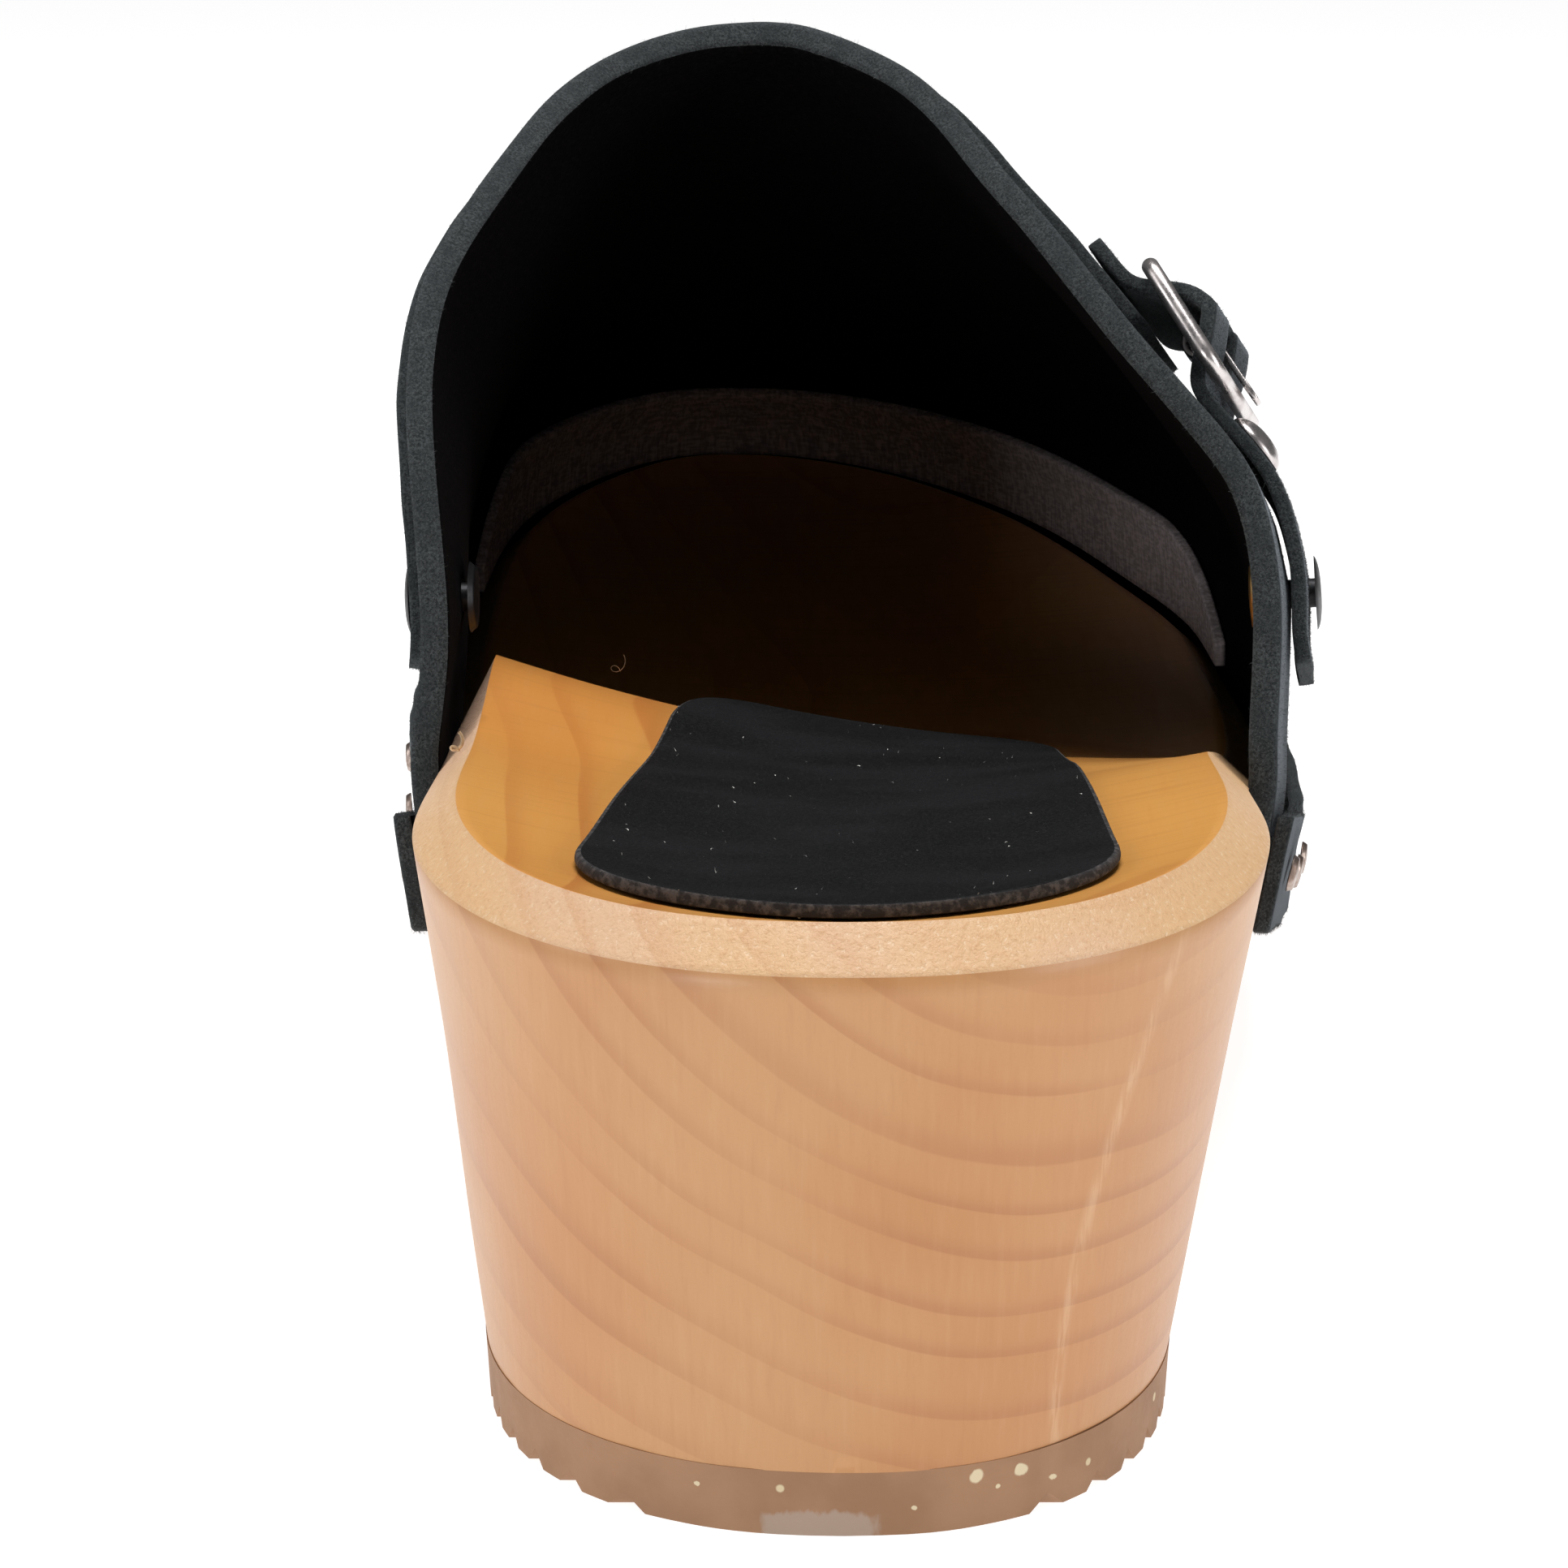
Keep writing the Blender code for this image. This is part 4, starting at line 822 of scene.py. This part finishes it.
nickel = metal("nickel_steel", (0.66, 0.62, 0.61), (0.40, 0.33, 0.33), 0.26, 0.3)
nail_steel = metal("nail_steel", (0.46, 0.38, 0.34), (0.20, 0.13, 0.10), 0.36, 0.8)
rivet_brass = metal("rivet_brass", (0.66, 0.42, 0.17), (0.32, 0.18, 0.07), 0.30, 0.5)
dark_steel = metal("blackened_steel", (0.055, 0.055, 0.058), (0.03, 0.03, 0.03), 0.42, 0.5)
print("metals:", nickel.name, nail_steel.name, rivet_brass.name, dark_steel.name)

# %% Build the nails
def steel_piece(node, name, surface, crease=0.75, levels=2, sharp=SHARP):
    close_shape(open_shape(node), name, [surface], [node], crease, levels, sharp)


for number, node in enumerate(nail_nodes, start=1):
    steel_piece(node, f"nail_head_{number:02d}", nail_steel)

# %% [markdown]
# ## The straps
# The instep strap comes over from the inner side and ends under the buckle. The buckle strap is riveted on
# the outer side, goes up under the frame's lower end, over the bar and out again at the top. Both are the
# same nubuck, cut rather roughly, so fibres stand out all along their edges.

# %% Build the straps
instep_strap = leather_piece("instep_strap", "strap_over_instep")
buckle_strap = leather_piece("buckle_strap", "strap_through_buckle")
for strap, seed, count in ((instep_strap, 21, 7000), (buckle_strap, 22, 5000)):
    shift_surface(strap, waviness(5 * MM, 0.10 * MM, seed=seed))
    fibres(
        f"{strap.name}_fuzz", strap, {EDGE}, count=count, length=0.5 * MM, width=0.03 * MM,
        surface=edge_hair, seed=seed)
    fibres(
        f"{strap.name}_nap", strap, {FACE}, count=9000, length=0.28 * MM, width=0.028 * MM,
        surface=nap_hair, seed=seed + 10)

# %% [markdown]
# ## Buckle, rivets and stud
# The buckle is cast and nickel plated: a ring with rounded corners, a bar across it and a prong curled round
# the bar. The rivets are blackened, but the outer one's cap inside the clog is worn to bare brass. A domed
# stud sits on the buckle strap.

# %% Build the metal parts
steel_piece("buckle_frame", "buckle_ring", nickel, crease=0.8, sharp=50)
steel_piece("buckle_prong", "buckle_tongue", nickel, crease=0.85)
steel_piece("strap_stud", "domed_stud", nickel, crease=0.75, levels=3)


def rivet(node, name, bare):
    """A blackened rivet. A share of its length, from its left end, is left as bare brass."""
    shape = open_shape(node)
    low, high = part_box(node)
    for face in shape.faces:
        face.material_index = int(face.calc_center_median().x > low.x + bare * (high.x - low.x))
    close_shape(shape, name, [rivet_brass, dark_steel], [node], crease=1)


rivet("medial_rivet", "rivet_inner_side", 0)
rivet("lateral_rivet", "rivet_outer_side", 0.22)

# %% [markdown]
# ## The heel pad
# A pad of thin black suede is glued in the seat. Its edge is rounded over and dusty, and pale lint sticks to
# its nap. The lint is modelled as tiny bits of fibre, because a painted dot would look flat from the side.

# %% Build the pad
def suede():
    finish = Finish("black_suede")
    nap = finish.noise(everywhere(3600), 2.0, 0.7)
    brushed = finish.noise((70, 160, 70), 2.0)
    colour = finish.between(finish.fade(nap, 0.45, 0.66), (0.0022, 0.0022, 0.0025), (0.0095, 0.0095, 0.0105))
    colour = finish.between(finish.fade(brushed, 0.42, 0.68, 0.4), colour, (0.010, 0.010, 0.012))
    return finish.done(
        Base_Color=colour, Roughness=finish.from_to(0.40, brushed, 0.4), Specular_IOR_Level=0.13,
        Sheen_Weight=0.012, Sheen_Roughness=0.35, Normal=finish.relief(nap, 0.12 * MM))


def dusty_edge():
    finish = Finish("suede_edge")
    dust = finish.noise(everywhere(1500), 3.0, 0.6)
    colour = finish.between(finish.fade(dust, 0.42, 0.68), (0.014, 0.013, 0.014), (0.075, 0.068, 0.066))
    return finish.done(Base_Color=colour, Roughness=0.9, Normal=finish.relief(dust, 0.10 * MM))


PAD_FACE, PAD_EDGE = range(2)


def heel_pad():
    """The pad. Its two largest patches are its upper and lower face, and the rest is its edge."""
    shape = open_shape("heel_pad")
    for group in patches(shape)[2:]:
        for face in group:
            face.material_index = PAD_EDGE
    return close_shape(
        shape, "suede_pad", [suede(), dusty_edge()], ["heel_pad"], crease=0.35, levels=3)


pad = heel_pad()
lint = hair("pale_lint", (0.75, 0.73, 0.68))
pad_hair = hair("suede_hair", (0.014, 0.014, 0.016))
fibres(
    "pad_nap", pad, {PAD_FACE}, count=22000, length=0.18 * MM, width=0.022 * MM,
    surface=pad_hair, seed=31)
fibres(
    "pad_lint", pad, {PAD_FACE, PAD_EDGE}, count=260, length=0.34 * MM, width=0.09 * MM,
    surface=lint, seed=32, lean=3.0)

# %% [markdown]
# Two more bits were left by the making: a thin curl of wood at the inner end of the collar, where the rim was
# cut, and a thread of lint on the seat. Each is a flat tube along a smooth line through the points of a
# spiral, which is wound in the plane that the camera sees.

# %% Lay the curl and the thread
STEPS = 10
FLATNESS = 2 / 3
CURL_PLACE = (-35.6 * MM, -60.0 * MM, 46.6 * MM)
THREAD_PLACE = (-22.6 * MM, -24.5 * MM, 45.2 * MM)


def smooth_line(points):
    """A Catmull-Rom curve through the points, in short steps."""
    line = []
    for before, start, end, after in zip(points, points[1:], points[2:], points[3:]):
        for step in range(STEPS):
            t = step / STEPS
            line.append(0.5 * (
                2 * start + (end - before) * t + (2 * before - 5 * start + 4 * end - after) * t * t
                + (3 * start - before - 3 * end + after) * t * t * t))
    return line


def ribbon(name, points, width, surface):
    """A flat tube along a smooth line."""
    line = smooth_line(points)
    shape = bmesh.new()
    rows = []
    for here, further in zip(line, line[1:]):
        aside = (further - here).cross(Vector((0, 1, 0.3))).normalized() * width / 2
        lift = Vector((0, 1, 0)) * width / 2 * FLATNESS
        rows.append([shape.verts.new(here + offset) for offset in (aside, lift, -aside, -lift)])
    for row, beyond in zip(rows, rows[1:]):
        for i in range(4):
            shape.faces.new((row[i], row[(i + 1) % 4], beyond[(i + 1) % 4], beyond[i]))
    made = bpy.data.meshes.new(name)
    bmesh.ops.recalc_face_normals(shape, faces=shape.faces)
    shape.to_mesh(made)
    shape.free()
    small_piece(name, made, surface)


def spiral(centre, radius, turns, rise, count):
    """Points on a curl, from its middle outwards."""
    winding = []
    for i in range(count):
        share = i / (count - 1)
        angle = turns * math.tau * share
        reach = radius * (0.35 + 0.65 * share)
        offset = Vector((math.cos(angle), 0.1 * share, math.sin(angle))) * reach
        winding.append(Vector(centre) + offset + Vector((0, 0, rise * share)))
    return winding


shaving = hair("wood_shaving", (0.74, 0.50, 0.27))
ribbon("shaving_curl", spiral(CURL_PLACE, 0.7 * MM, 1.3, 1.6 * MM, 14), 0.32 * MM, shaving)
thread = hair("seat_thread", (0.34, 0.22, 0.12))
ribbon("thread_on_seat", spiral(THREAD_PLACE, 0.9 * MM, 1.2, 1.4 * MM, 18), 0.07 * MM, thread)

# %% [markdown]
# ## The toe band
# Inside, a low band of grey felt hides the nails' side of the leather round the toe. Felt is a mat of fibres
# that lie in all directions, so its pattern is two sets of fine streaks, one laid over the other.

# %% Build the band
def felt():
    finish = Finish("grey_felt")
    one = finish.noise((2600, 2600, 300), 2.0)
    other = finish.noise((500, 900, 2600), 2.0)
    mat = finish.math("MULTIPLY", finish.math("ADD", one, other), 0.5)
    colour = finish.between(finish.fade(mat, 0.40, 0.62), (0.40, 0.35, 0.36), (0.66, 0.58, 0.60))
    return finish.done(
        Base_Color=colour, Roughness=0.97, Specular_IOR_Level=0.1, Normal=finish.relief(mat, 0.15 * MM))


band = close_shape(open_shape("toe_band"), "felt_band", [felt()], ["toe_band"], crease=0.6)
felt_hair = hair("felt_hair", (0.58, 0.50, 0.52))
fibres(
    "band_fuzz", band, {0}, count=9000, length=0.5 * MM, width=0.025 * MM,
    surface=felt_hair, seed=41, lean=1.6)
